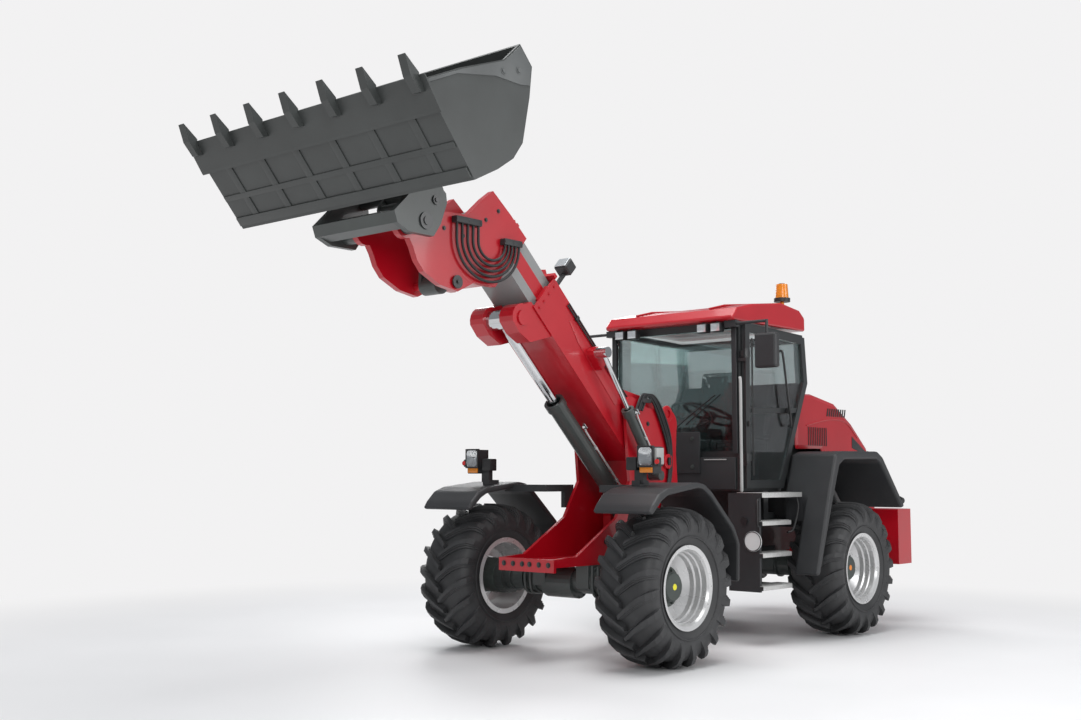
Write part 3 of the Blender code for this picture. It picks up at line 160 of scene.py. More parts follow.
def railed_boom():
    """Red with a grey rail along the boom's upper and lower edges."""
    look = surface("railed_boom", (0.40, 0.002, 0.010), 0.34, coat=0.35, vary=0.05, scale=3.0)
    tree = look.node_tree
    shader = tree.nodes["Principled BSDF"]
    new, link = tree.nodes.new, tree.links.new
    place = new("ShaderNodeTexCoord")
    up = new("ShaderNodeVectorMath")
    up.operation = "DOT_PRODUCT"
    up.inputs[1].default_value = (0, sin(BOOM_ANGLE), cos(BOOM_ANGLE))
    link(place.outputs["Object"], up.inputs[0])
    pivot = (BOOM_PIVOT[0] + FRONT_AXLE_Y) * sin(BOOM_ANGLE) + BOOM_PIVOT[1] * cos(BOOM_ANGLE)
    span = new("ShaderNodeMapRange")
    span.inputs["From Min"].default_value = pivot - 0.53
    span.inputs["From Max"].default_value = pivot - 0.20
    link(up.outputs["Value"], span.inputs["Value"])
    bands = new("ShaderNodeValToRGB")
    bands.color_ramp.interpolation = "CONSTANT"
    bands.color_ramp.elements[0].position = 0.0
    bands.color_ramp.elements[1].position = 0.30
    bands.color_ramp.elements.new(0.68)
    for element, value in zip(bands.color_ramp.elements, (1, 0, 1)):
        element.color = (value, value, value, 1)
    link(span.outputs["Result"], bands.inputs["Fac"])
    mix = new("ShaderNodeMix")
    mix.data_type = "RGBA"
    link(bands.outputs["Color"], mix.inputs["Factor"])
    painted = shader.inputs["Base Color"].links[0].from_socket
    link(painted, mix.inputs["A"])
    mix.inputs["B"].default_value = (0.22, 0.225, 0.225, 1)
    link(mix.outputs["Result"], shader.inputs["Base Color"])
    return look


def paint_frame():
    """Gives each CAD node that stays its look."""
    slots = {part["node"]: part["material_slot"] for part in frame["record"]["subparts"]}
    special = {
        "bucket": BUCKET, "cutting_edge": BUCKET, "cab_frame": PAINT_DARK, "cab_door": PAINT_DARK,
        "rear_frame": PAINT_DARK, "boom_inner": railed_boom(),
    }
    for name, obj in frame["nodes"].items():
        look = special.get(name, LOOKS[slots[name]])
        obj.data.materials.clear()
        obj.data.materials.append(look)


# ---------------------------------------------------------------- mesh helpers

def mesh_object(name, bm, look, smooth=None):
    """Turns a bmesh into an object of one material."""
    bmesh.ops.recalc_face_normals(bm, faces=bm.faces)
    mesh = bpy.data.meshes.new(name)
    bm.to_mesh(mesh)
    bm.free()
    obj = bpy.data.objects.new(name, mesh)
    bpy.context.scene.collection.objects.link(obj)
    mesh.materials.append(look)
    if smooth is not None:
        mesh.shade_smooth()
        mesh.set_sharp_from_angle(angle=radians(smooth))
    return obj


def revolve(bm, profile, centre, sides, outward=1):
    """Adds a surface of revolution about X through centre; profile holds (x, r) pairs."""
    rings = []
    for x, r in profile:
        rings.append([
            bm.verts.new((centre[0] + outward * x, centre[1] + r * cos(2 * pi * i / sides),
                          centre[2] + r * sin(2 * pi * i / sides)))
            for i in range(sides)
        ])
    for a, b in zip(rings, rings[1:]):
        for i in range(sides):
            j = (i + 1) % sides
            bm.faces.new((a[i], a[j], b[j], b[i]))
    return rings


# ---------------------------------------------------------------- wheels

CARCASS = [  # across, radius
    (0.215, 0.302), (0.222, 0.345), (0.244, 0.385), (0.260, 0.43), (0.262, 0.475), (0.250, 0.508),
    (0.230, 0.535), (0.205, 0.555), (0.16, 0.568), (0.10, 0.574), (0.0, 0.577),
]
LUG_PATH = [  # across, radius of the carcass there, turn ahead of the middle, height, half width
    (-0.018, 0.575, -0.020, 0.049, 0.026),
    (0.030, 0.574, 0.035, 0.050, 0.026),
    (0.075, 0.573, 0.090, 0.051, 0.028),
    (0.125, 0.570, 0.150, 0.052, 0.031),
    (0.175, 0.562, 0.205, 0.052, 0.035),
    (0.215, 0.546, 0.245, 0.048, 0.038),
    (0.245, 0.515, 0.272, 0.036, 0.039),
    (0.260, 0.480, 0.290, 0.018, 0.037),
    (0.262, 0.440, 0.300, 0.004, 0.033),
    (0.258, 0.415, 0.304, -0.006, 0.030),
]
LUG_SECTION = [(-1.15, -0.3), (-1.05, 0.38), (-0.72, 0.44), (-0.66, 0.72), (-0.42, 0.76), (-0.36, 1.0),
               (0.80, 1.0), (1.05, -0.3)]


def lug(bm, centre, side, angle):
    """One tread bar, swept from the middle of the tread to the sidewall."""
    rings = []
    for k, (x, r, turn, height, half) in enumerate(LUG_PATH):
        before, after = LUG_PATH[max(k - 1, 0)], LUG_PATH[min(k + 1, len(LUG_PATH) - 1)]
        dx, dr = after[0] - before[0], after[1] - before[1]
        length = math.hypot(dx, dr) or 1
        nx, nr = -dr / length, dx / length
        ring = []
        for across, share in LUG_SECTION:
            up = share * height if share > 0 else -0.012
            px, pr = x + nx * up, r + nr * up
            phi = angle + turn + across * half / max(r, 0.1)
            ring.append(bm.verts.new((
                centre[0] + side * px, centre[1] - pr * cos(phi), centre[2] + pr * sin(phi)
            )))
        rings.append(ring)
    for a, b in zip(rings, rings[1:]):
        for i in range(len(LUG_SECTION) - 1):
            bm.faces.new((a[i], a[i + 1], b[i + 1], b[i]))
    bm.faces.new(rings[0])
    bm.faces.new(rings[-1])


def tyre(name, body, x, y):
    """A carcass with its tread bars and sidewall rings."""
    centre = (x, y, TYRE_RADIUS)
    bm = bmesh.new()
    full = CARCASS + [(-px, r) for px, r in CARCASS[-2::-1]]
    revolve(bm, full, centre, 96)
    for i in range(LUGS):
        for side, shift in ((1, 0.0), (-1, 0.5)):
            lug(bm, centre, side, 2 * pi * (i + shift) / LUGS)
    for side in (1, -1):  # raised rings on the sidewall
        revolve(bm, [(side * 0.2475, 0.388), (side * 0.256, 0.392), (side * 0.257, 0.400),
                     (side * 0.2545, 0.404)], centre, 96)
    obj = mesh_object(name + "_treaded", bm, RUBBER, smooth=28)
    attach(obj, body)
    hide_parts(name)


def rim(name, body, x, y, outward, dot):
    """The dished rim, the hub with its nuts, and the coloured dot."""
    centre = (x, y, TYRE_RADIUS)
    bm = bmesh.new()
    shell = [
        (-0.229, 0.330), (-0.215, 0.302), (-0.10, 0.298), (0.215, 0.302), (0.222, 0.306), (0.229, 0.330),
        (0.231, 0.332), (0.231, 0.326), (0.224, 0.298), (0.205, 0.286), (0.160, 0.286), (0.152, 0.276),
        (0.110, 0.276), (0.100, 0.262), (0.060, 0.260), (0.045, 0.240), (0.012, 0.200), (0.008, 0.165),
        (-0.02, 0.160), (-0.02, 0.235), (-0.06, 0.262), (-0.229, 0.288), (-0.229, 0.330),
    ]
    revolve(bm, shell, centre, 96, outward)
    obj = mesh_object(name + "_dished", bm, SILVER, smooth=30)
    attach(obj, body)
    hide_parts(name)
    bm = bmesh.new()
    rings = revolve(bm, [
        (-0.215, 0.150), (0.010, 0.150), (0.012, 0.158), (0.030, 0.158), (0.034, 0.150), (0.040, 0.118),
        (0.085, 0.112), (0.094, 0.104), (0.098, 0.060), (0.099, 0.030),
    ], centre, 64, outward)
    bm.faces.new(rings[0])
    bm.faces.new(rings[-1])
    for i in range(10):  # wheel nuts
        a = 2 * pi * i / 10
        at = (centre[0], centre[1] + 0.134 * cos(a), centre[2] + 0.134 * sin(a))
        rings = revolve(bm, [(0.030, 0.014), (0.050, 0.014), (0.054, 0.009)], at, 6, outward)
        bm.faces.new(rings[-1])
    hub = mesh_object(name + "_hub", bm, HUB, smooth=30)
    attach(hub, body)
    bm = bmesh.new()
    rings = revolve(bm, [(0.098, 0.026), (0.101, 0.024), (0.1015, 0.001)], centre, 32, outward)
    bm.faces.new(rings[0])
    bm.faces.new(rings[-1])
    disc = mesh_object(name + "_dot", bm, dot, smooth=30)
    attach(disc, body)


def wheels():
    """All four wheels, with yellow dots in front and orange ones behind."""
    yellow = surface("yellow_cap", (0.78, 0.72, 0.03), 0.4, vary=0.05)
    orange = surface("orange_cap", (0.80, 0.25, 0.03), 0.4, vary=0.05)
    for row, y, dot in (("front", FRONT_AXLE_Y, yellow), ("rear", FRONT_AXLE_Y + WHEELBASE, orange)):
        for side, sign in (("left", 1), ("right", -1)):
            name = f"{row}_{side}"
            tyre(name + "_tyre", "wheel_" + name, sign * TRACK / 2, y)
            rim(name + "_rim", "wheel_" + name, sign * TRACK / 2, y, sign, dot)


# ---------------------------------------------------------------- detail helpers

def side_view(y, z, x=0.0):
    """World place of a side-view point drawn from the ground under the front axle."""
    return Vector((x, y + FRONT_AXLE_Y, z))


def on_boom(forward, up, x=0.0):
    """World place of a point given along and above the boom's axis."""
    y = BOOM_PIVOT[0] - forward * cos(BOOM_ANGLE) + up * sin(BOOM_ANGLE)
    return side_view(y, BOOM_PIVOT[1] + forward * sin(BOOM_ANGLE) + up * cos(BOOM_ANGLE), x)


def add_prism(bm, points, shift, bevel=0.0):
    """A flat outline of world points swept by a vector, with softened edges."""
    low = [bm.verts.new(p) for p in points]
    high = [bm.verts.new(Vector(p) + Vector(shift)) for p in points]
    faces = [bm.faces.new(low), bm.faces.new(high[::-1])]
    count = len(points)
    for i in range(count):
        j = (i + 1) % count
        faces.append(bm.faces.new((low[j], low[i], high[i], high[j])))
    if bevel:
        edges = {e for f in faces for e in f.edges}
        bmesh.ops.bevel(bm, geom=list(edges), offset=bevel, segments=2, affect="EDGES", profile=0.6)


def add_box(bm, x, y, z, bevel=0.004):
    """A box between pairs of side-view limits, with rounded edges."""
    corners = [side_view(y[a], z[b], x[0]) for a, b in ((0, 0), (1, 0), (1, 1), (0, 1))]
    add_prism(bm, corners, (x[1] - x[0], 0, 0), bevel)


def add_tube(bm, points, radius, sides=12):
    """A round tube with closed ends through world points."""
    points = [Vector(p) for p in points]
    rings, side = [], None
    for i, p in enumerate(points):
        along = (points[min(i + 1, len(points) - 1)] - points[max(i - 1, 0)]).normalized()
        if side is None:
            side = along.orthogonal().normalized()
        side = (side - along * side.dot(along)).normalized()
        over = along.cross(side)
        rings.append([
            bm.verts.new(p + radius * (side * cos(2 * pi * k / sides) + over * sin(2 * pi * k / sides)))
            for k in range(sides)
        ])
    for a, b in zip(rings, rings[1:]):
        for k in range(sides):
            j = (k + 1) % sides
            bm.faces.new((a[k], a[j], b[j], b[k]))
    bm.faces.new(rings[0])
    bm.faces.new(rings[-1][::-1])


def bent(points, steps=8):
    """A smooth path through the points, as a Catmull-Rom curve."""
    points = [Vector(p) for p in points]
    full = [2 * points[0] - points[1]] + points + [2 * points[-1] - points[-2]]
    path = []
    for a, b, c, d in zip(full, full[1:], full[2:], full[3:]):
        for k in range(steps):
            t = k / steps
            path.append(0.5 * (2 * b + (c - a) * t + (2 * a - 5 * b + 4 * c - d) * t * t
                               + (3 * b - 3 * c + d - a) * t * t * t))
    return path + [points[-1]]


def add_bolt(bm, place, along, radius=0.014, height=0.012):
    """A hexagon head on a washer, standing on a surface."""
    place, along = Vector(place), Vector(along).normalized()
    add_tube(bm, [place, place + along * 0.003], radius * 1.5, 16)
    add_tube(bm, [place + along * 0.003, place + along * height], radius, 6)


def piece(name, body, look, build, smooth=30):
    """One named piece that rides a body."""
    bm = bmesh.new()
    build(bm)
    obj = mesh_object(name, bm, look, smooth)
    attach(obj, body)
    return obj


# ---------------------------------------------------------------- bucket and boom head

def bucket_details():
    """Ribs under the bucket, its side plates and the caps of the hitch pins."""
    lip, heel = Vector((-2.93, 3.967)), Vector((-2.464, 3.411))
    slope = (heel - lip).normalized()
    outward = Vector((slope.y, -slope.x))
    if outward.y > 0:
        outward = -outward

    def under(share, off):
        return lip + (heel - lip) * share + outward * off

    def strip(bm, x0, x1, a, b, thick):
        points = [side_view(*under(share, off), x0)
                  for share, off in ((a, 0.0005), (b, 0.0005), (b, thick), (a, thick))]
        add_prism(bm, points, (x1 - x0, 0, 0), 0.002)

    def ribs(bm):
        for x in (-1.0, -0.6, -0.2, 0.2, 0.6, 1.0):
            strip(bm, x - 0.035, x + 0.035, 0.20, 0.86, 0.008)
        strip(bm, -1.25, 1.25, 0.60, 0.66, 0.010)
        strip(bm, -1.25, 1.25, 0.86, 0.96, 0.014)

    piece("bucket_ribs", "attachment", BUCKET, ribs)

    def sides(bm):
        outline = [(-2.90, 3.955), (-2.634, 4.083), (-2.28, 4.151), (-2.029, 4.146), (-1.935, 4.16),
                   (-1.92, 4.30), (-2.035, 4.418), (-2.19, 4.272), (-2.60, 4.116), (-2.89, 3.985)]
        for x, shift in ((1.2604, 0.006), (-1.2604, -0.006)):
            add_prism(bm, [side_view(y, z, x) for y, z in outline], (shift, 0, 0), 0.002)
            for y, z in ((-2.20, 4.20), (-2.05, 4.24)):
                add_bolt(bm, side_view(y, z, x + shift), (shift, 0, 0), 0.018, 0.010)

    # The side plates take the lighter steel, which is painted light.
    piece("bucket_side_plates", "attachment", BUCKET_SIDE_LIT, sides)

    def pins(bm):
        for sign in (1, -1):
            for y, z, x, r in ((-2.13, 3.30, 0.4502, 0.062), (-2.035, 3.465, 0.4502, 0.034)):
                add_tube(bm, [side_view(y, z, sign * x), side_view(y, z, sign * (x + 0.012))], r, 32)
                add_tube(bm, [side_view(y, z, sign * x), side_view(y, z, sign * (x + 0.020))], r * 0.5, 24)

    piece("hitch_pin_caps", "attachment", PAINT_DARK, pins)


def boom_details():
    """Pin caps, the work light, the side pressings and the lines clipped to the boom."""
    def caps(bm):
        for sign in (1, -1):
            add_tube(bm, [side_view(-1.62, 2.94, sign * 0.2555), side_view(-1.62, 2.94, sign * 0.268)],
                     0.05, 32)
            add_bolt(bm, side_view(-1.62, 2.94, sign * 0.268), (sign, 0, 0), 0.014)
            for y, z in ((-1.75, 3.33), (-1.55, 3.30), (-1.30, 3.46), (-1.16, 3.55)):
                add_bolt(bm, side_view(y, z, sign * 0.2453), (sign, 0, 0), 0.012, 0.010)

    piece("head_pin_caps", "inner_boom", PAINT_DARK, caps)

    def lamp(bm):
        outline = ((-0.155, 0.27), (-0.035, 0.27), (-0.035, 0.37), (-0.155, 0.37))
        forward = on_boom(0.006, 0) - on_boom(0, 0)
        add_prism(bm, [on_boom(1.6702, up, x) for x, up in outline], forward, 0.002)

    piece("boom_lamp_lens", "boom", LENS, lamp)

    def collar(bm):
        for sign in (1, -1):
            for up in (-0.25, -0.34, -0.43, -0.51):
                add_bolt(bm, on_boom(1.83, up, sign * 0.2503), (sign, 0, 0), 0.010, 0.009)
            outline = ((0.55, -0.30), (1.45, -0.27), (1.52, -0.31), (1.30, -0.36), (0.62, -0.38))
            pressing = [on_boom(f, up, sign * 0.2503) for f, up in outline]
            add_prism(bm, pressing, (sign * 0.004, 0, 0), 0.0015)

    piece("boom_side_pressing", "boom", RED, collar)

    def line(bm):
        for up in (-0.215, -0.238):
            add_tube(bm, bent([on_boom(f, up, 0.262) for f in (0.30, 0.80, 1.30, 1.62)], 6), 0.007, 10)
        for f in (0.45, 0.95, 1.45):
            outline = ((0, -0.205), (0.03, -0.205), (0.03, -0.25), (0, -0.25))
            points = [on_boom(f + df, up, 0.2503) for df, up in outline]
            add_prism(bm, points, (0.022, 0, 0), 0.002)

    piece("boom_pipes", "boom", BLACK, line)


def cylinder_pipes():
    """Steel pipe beside each large barrel, with a union at its head."""
    for name, x, foot, eye, length, radius, pipe, lean, head in (
        ("lift", 0.0, (0.750, 1.187), (1.90, -0.71), 1.34, 0.078, 0.010, 0.6, 0.36),
        ("levelling", 0.385, (0.70, 1.50), (1.14, -0.30), 0.69, 0.045, 0.007, 0.3, 0.05),
    ):
        start, end = side_view(*foot, x), on_boom(*eye, x)
        along = (end - start).normalized()
        up = Vector((0, -along.z, along.y))
        if up.z < 0:
            up = -up
        off = Vector((1, 0, 0)) * sqrt(1 - lean ** 2) + up * lean
        reach, far = radius + pipe + 0.001, length - head

        def pipes(bm):
            stations = ((0.12 * length, 0.0), (0.2 * length, 0.004), (0.5 * length, 0.004),
                        (far - 0.09, 0.004), (far, 0.012))
            route = [start + along * d + off * (reach + extra) for d, extra in stations]
            add_tube(bm, bent(route, 6), pipe, 12)
            for share in (0.25, 0.55):
                at = start + along * length * share
                add_tube(bm, [at - along * 0.012 + off * reach, at + along * 0.012 + off * reach],
                         pipe * 1.7, 16)

        piece(name + "_cylinder_pipe", name + "_cylinder_barrel", SILVER, pipes)

        def union(bm):
            at = start + along * far
            add_tube(bm, [at + off * (radius + 0.012), at + off * (radius + 0.034)], pipe * 1.9, 6)
            add_tube(bm, [at - along * 0.02 + off * (radius + 0.036),
                          at + along * 0.03 + off * (radius + 0.036)], pipe * 1.3, 12)

        piece(name + "_cylinder_union", name + "_cylinder_barrel", CHROME, union)


# ---------------------------------------------------------------- front frame

def front_frame_details():
    """Bosses, bolts and hoses of the tower, and the U bolts of the axle."""
    def rings(bm):
        for (y, z), low, high, r in (((0.971, 1.625), 0.2985, 0.330, 0.066),
                                     ((0.975, 2.045), 0.2985, 0.316, 0.075)):
            revolve(bm, [(low, r), (high - 0.004, r), (high, r - 0.006), (high, r * 0.56), (low, r * 0.54)],
                    side_view(y, z), 40)
            revolve(bm, [(-low, r), (-high + 0.004, r), (-high, r - 0.006), (-high, r * 0.56),
                         (-low, r * 0.54)],
                    side_view(y, z), 40)

    piece("tower_bosses", "front_frame", RED, rings)

    def bolts(bm):
        for x in (-0.24, -0.14, -0.04, 0.04, 0.14, 0.24):
            add_bolt(bm, side_view(-0.5602, 0.785, x), (0, -1, 0), 0.015)
        for y in (-0.50, -0.38):
            for x in (-0.20, 0.20):
                add_bolt(bm, side_view(y, 0.8052, x), (0, 0, 1), 0.017)
        for sign in (1, -1):
            for y, z in ((0.10, 0.95), (0.25, 0.98), (0.55, 1.30), (0.62, 1.75), (0.70, 1.95), (0.90, 1.30)):
                add_bolt(bm, side_view(y, z, sign * 0.2985), (sign, 0, 0), 0.014)

    piece("front_frame_bolts", "front_frame", PAINT_DARK, bolts)

    def u_bolts(bm):
        for sign in (1, -1):
            for x in (0.34, 0.40):
                route = [(-0.125, 0.76), (-0.125, 0.60), (-0.105, 0.53), (-0.05, 0.505), (0.05, 0.505),
                         (0.105, 0.53), (0.125, 0.60), (0.125, 0.76)]
                add_tube(bm, bent([side_view(y, z, sign * x) for y, z in route], 5), 0.012, 12)

    piece("axle_u_bolts", "front_frame", STEEL, u_bolts)

    def hoses(bm):
        for k in range(4):
            x, back = 0.318 + 0.004 * (k % 2), 0.028 * k
            route = [(0.50 + back, 2.06), (0.60 + back, 2.20), (0.74 + back, 2.15), (0.90 + back, 1.90),
                     (0.98 + back / 2, 1.68), (0.97 + back / 3, 1.45), (0.86 + back / 3, 1.20),
                     (0.84 + back / 3, 1.00)]
            add_tube(bm, bent([side_view(y, z, x) for y, z in route], 6), 0.010, 10)
        for y, z in ((0.60, 2.145), (0.90, 1.20)):
            add_box(bm, (0.2985, 0.335), (y - 0.02, y + 0.11), (z - 0.015, z + 0.02), 0.004)

    piece("tower_hoses", "front_frame", BLACK, hoses)


def axle_details():
    """Ribs and cover bolts on both axle housings."""
    for y, body in ((0.0, "front_frame"), (WHEELBASE, "rear_frame")):
        def rings(bm):
            for sign in (1, -1):
                for x in (0.30, 0.44, 0.58):
                    near, far = sign * x, sign * (x + 0.018)
                    revolve(bm, [(near, 0.100), (near, 0.122), (far, 0.122), (far, 0.100)],
                            side_view(y, TYRE_RADIUS), 48)
            for k in range(12):
                a = 2 * pi * k / 12
                along, up = y + 0.118 * cos(a), TYRE_RADIUS - 0.02 + 0.118 * sin(a)
                for x in (-0.2202, 0.1002):
                    add_bolt(bm, side_view(along, up, x), (x, 0, 0), 0.007, 0.008)

        piece(body.replace("frame", "axle") + "_ribs", body, STEEL, rings)


def lamp_pair():
    """Bezel, reflector, cover, indicator and marker of both headlights."""
    for side, sign in (("left", 1), ("right", -1)):
        def put(x0, x1):
            return tuple(sorted((sign * x0, sign * x1)))

        def bezel(bm):
            for x, z in (((0.872, 0.886), (1.563, 1.733)), ((1.014, 1.028), (1.563, 1.733)),
                         ((0.884, 1.016), (1.719, 1.733)), ((0.884, 1.016), (1.563, 1.577))):
                add_box(bm, put(*x), (-0.222, -0.2002), z, 0.003)
            add_box(bm, put(0.745, 0.845), (-0.20, -0.115), (1.54, 1.645), 0.008)
            add_box(bm, put(1.050, 1.064), (-0.205, -0.160), (1.575, 1.64), 0.004)

        piece(f"headlight_{side}_bezel", "front_frame", BLACK, bezel)

        def dish(bm):
            centre = side_view(-0.2062, 1.648, sign * 0.95)
            rows = []
            for share, depth in ((1.0, 0.014), (0.82, 0.009), (0.55, 0.003), (0.25, 0.0008)):
                row = []
                for k in range(32):
                    a = 2 * pi * k / 32
                    squared = share * min(1 / max(abs(cos(a)), abs(sin(a))), 1.25)
                    offset = Vector((squared * 0.064 * cos(a), -depth, squared * 0.071 * sin(a)))
                    row.append(bm.verts.new(centre + offset))
                rows.append(row)
            for a, b in zip(rows, rows[1:]):
                for k in range(32):
                    bm.faces.new((a[k], a[(k + 1) % 32], b[(k + 1) % 32], b[k]))
            bm.faces.new(rows[-1])
            add_tube(bm, [centre, centre + Vector((0, -0.010, 0))], 0.016, 16)

        piece(f"headlight_{side}_reflector", "front_frame", CHROME, dish)
        piece(f"headlight_{side}_cover", "front_frame", COVER,
              lambda bm: add_box(bm, put(0.886, 1.014), (-0.2205, -0.2185), (1.577, 1.719), 0.0006))
        piece(f"headlight_{side}_housing", "front_frame", GREY_LIGHT,
              lambda bm: add_box(bm, put(1.0203, 1.048), (-0.195, -0.10), (1.585, 1.715), 0.006))
        piece(f"indicator_{side}", "front_frame", AMBER,
              lambda bm: add_box(bm, put(0.89, 1.01), (-0.212, -0.2003), (1.521, 1.566), 0.003))
        piece(f"marker_{side}", "front_frame", RED_LENS,
              lambda bm: add_tube(bm, [side_view(-0.205, 1.607, sign * 1.057),
                                       side_view(-0.213, 1.607, sign * 1.057)], 0.020, 20))


# ---------------------------------------------------------------- cab

def cab_details():
    """Lamps, wiper, panels, rails, handles, mirror glass and the beacon base."""
    def lamps(bm):
        for x in (0.40, 0.55, -0.40, -0.55):
            add_box(bm, (x - 0.055, x + 0.055), (1.395, 1.465), (2.80, 2.885), 0.010)
            add_tube(bm, [side_view(1.43, 2.88, x), side_view(1.43, 2.8995, x)], 0.008, 8)
        for x in (0.55, -0.55):
            add_box(bm, (x - 0.06, x + 0.06), (2.715, 2.79), (2.935, 3.03), 0.010)
            add_tube(bm, [side_view(2.70, 2.985, x), side_view(2.72, 2.985, x)], 0.012, 8)

    piece("roof_lamps", "rear_frame", BLACK, lamps)

    def lenses(bm):
        for x in (0.40, 0.55, -0.40, -0.55):
            add_box(bm, (x - 0.046, x + 0.046), (1.390, 1.3952), (2.808, 2.877), 0.002)
        for x in (0.55, -0.55):
            add_box(bm, (x - 0.05, x + 0.05), (2.7898, 2.795), (2.945, 3.02), 0.002)

    piece("roof_lamp_lenses", "rear_frame", LENS, lenses)

    def wiper(bm):
        low, tip = side_view(1.488, 1.90, -0.02), side_view(1.500, 2.24, 0.48)
        add_tube(bm, bent([low, low.lerp(tip, 0.5) + Vector((0, -0.012, 0)), tip], 5), 0.007, 8)
        add_tube(bm, [low.lerp(tip, 0.30) + Vector((0.02, 0.004, -0.03)), tip + Vector((0.05, 0.004, 0.0))],
                 0.006, 8)
        add_tube(bm, [low + Vector((0, 0.011, 0)), low + Vector((0, -0.018, 0))], 0.026, 20)

    piece("wiper", "rear_frame", BLACK, wiper)

    def front_panel(bm):
        add_box(bm, (-0.66, 0.69), (1.480, 1.4995), (1.375, 1.665), 0.008)
        add_box(bm, (-0.30, 0.32), (1.462, 1.481), (1.52, 1.90), 0.010)
        add_box(bm, (-0.71, -0.66), (1.486, 1.4995), (1.70, 2.86), 0.004)
        add_box(bm, (0.66, 0.71), (1.486, 1.4995), (1.70, 2.86), 0.004)

    piece("cab_front_panel", "rear_frame", PLASTIC, front_panel)
    piece("cab_front_trim", "rear_frame", GREY_LIGHT,
          lambda bm: add_box(bm, (0.36, 0.60), (1.474, 1.4798), (1.640, 1.650), 0.001))

    def panel_bolts(bm):
        for x in (-0.22, 0.24):
            for z in (1.58, 1.84):
                add_bolt(bm, side_view(1.4618, z, x), (0, -1, 0), 0.014)

    piece("cab_panel_bolts", "rear_frame", STEEL, panel_bolts)

    def rails(bm):
        post = [(0.762, 1.470, 1.362), (0.775, 1.452, 1.42), (0.775, 1.452, 1.9), (0.775, 1.452, 2.32),
                (0.758, 1.470, 2.38)]
        add_tube(bm, bent([side_view(y, z, x) for x, y, z in post], 5), 0.014, 12)

    piece("cab_grab_rail", "rear_frame", GREY_LIGHT, rails)

    def handles(bm):
        grip = ((0.766, 2.14, 2.66), (0.80, 2.15, 2.64), (0.80, 2.22, 2.30), (0.80, 2.28, 2.00),
                (0.766, 2.29, 1.97))
        add_tube(bm, bent([side_view(y, z, x) for x, y, z in grip], 5), 0.011, 12)
        add_box(bm, (0.7653, 0.785), (2.24, 2.32), (2.085, 2.135), 0.006)
        add_box(bm, (0.7653, 0.782), (1.575, 1.60), (1.94, 1.99), 0.004)

    piece("door_handles", "cab_door", BLACK, handles)

    def glazing_bar(bm):
        for y in (1.66, 1.675):
            add_tube(bm, [side_view(y, 1.50, 0.7655), side_view(y, 2.75, 0.7655)], 0.004, 8)

    piece("door_seal", "cab_door", BLACK, glazing_bar)
    for side, sign in (("left", 1), ("right", -1)):
        x = tuple(sorted((sign * 0.957, sign * 1.143)))
        piece(f"mirror_{side}_glass", "rear_frame", CHROME,
              lambda bm: add_box(bm, x, (1.5002, 1.504), (2.468, 2.742), 0.0012))

    def seams(bm):
        for x in (-0.42, 0.42):
            crest = ((1.50, 3.033), (1.75, 3.090), (2.27, 3.150), (2.58, 3.112))
            add_tube(bm, [side_view(y, z, x) for y, z in crest], 0.010, 10)

    piece("roof_ribs", "rear_frame", RED, seams)

    def base(bm):
        add_tube(bm, [side_view(2.58, 3.196, 0.55), side_view(2.58, 3.232, 0.55)], 0.079, 40)
        add_tube(bm, [side_view(2.58, 3.372, 0.55), side_view(2.58, 3.378, 0.55)], 0.030, 24)

    piece("beacon_base", "rear_frame", BLACK, base)


def seat():
    """Cushion and back rest: crowned foam under cloth, with grooves from front to back."""
    for name, crown in (("seat_cushion", Vector((0, 0, 0.018))), ("seat_back", Vector((0, -0.018, 0.004)))):
        flat = name == "seat_cushion"
        source = frame["nodes"][name]
        bm = bmesh.new()
        bm.from_mesh(source.data)
        bmesh.ops.dissolve_limit(bm, angle_limit=radians(4), verts=bm.verts, edges=bm.edges)
        bmesh.ops.triangulate(bm, faces=bm.faces)
        bmesh.ops.subdivide_edges(bm, edges=bm.edges, cuts=5, use_grid_fill=True)
        low, high = (Vector(p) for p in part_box(name))
        middle, half = (low + high) / 2, (high - low) / 2
        for vert in bm.verts:
            place = vert.co - middle
            across = max(1 - (place.x / half.x) ** 2, 0)
            along = max(1 - ((place.y / half.y) if flat else (place.z / half.z)) ** 2, 0)
            outward = place.z > half.z * 0.3 if flat else place.y < half.y * 0.2
            grooves = 0.5 + 0.5 * abs(sin(4.5 * pi * place.x / half.x / 2))
            if outward:
                vert.co += crown * 0.45 * across * along * grooves
        bmesh.ops.smooth_vert(bm, verts=bm.verts, factor=0.4, use_axis_x=True, use_axis_y=True,
                              use_axis_z=True)
        obj = mesh_object(name + "_padded", bm, CLOTH, smooth=60)
        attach(obj, "rear_frame")
        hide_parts(name)


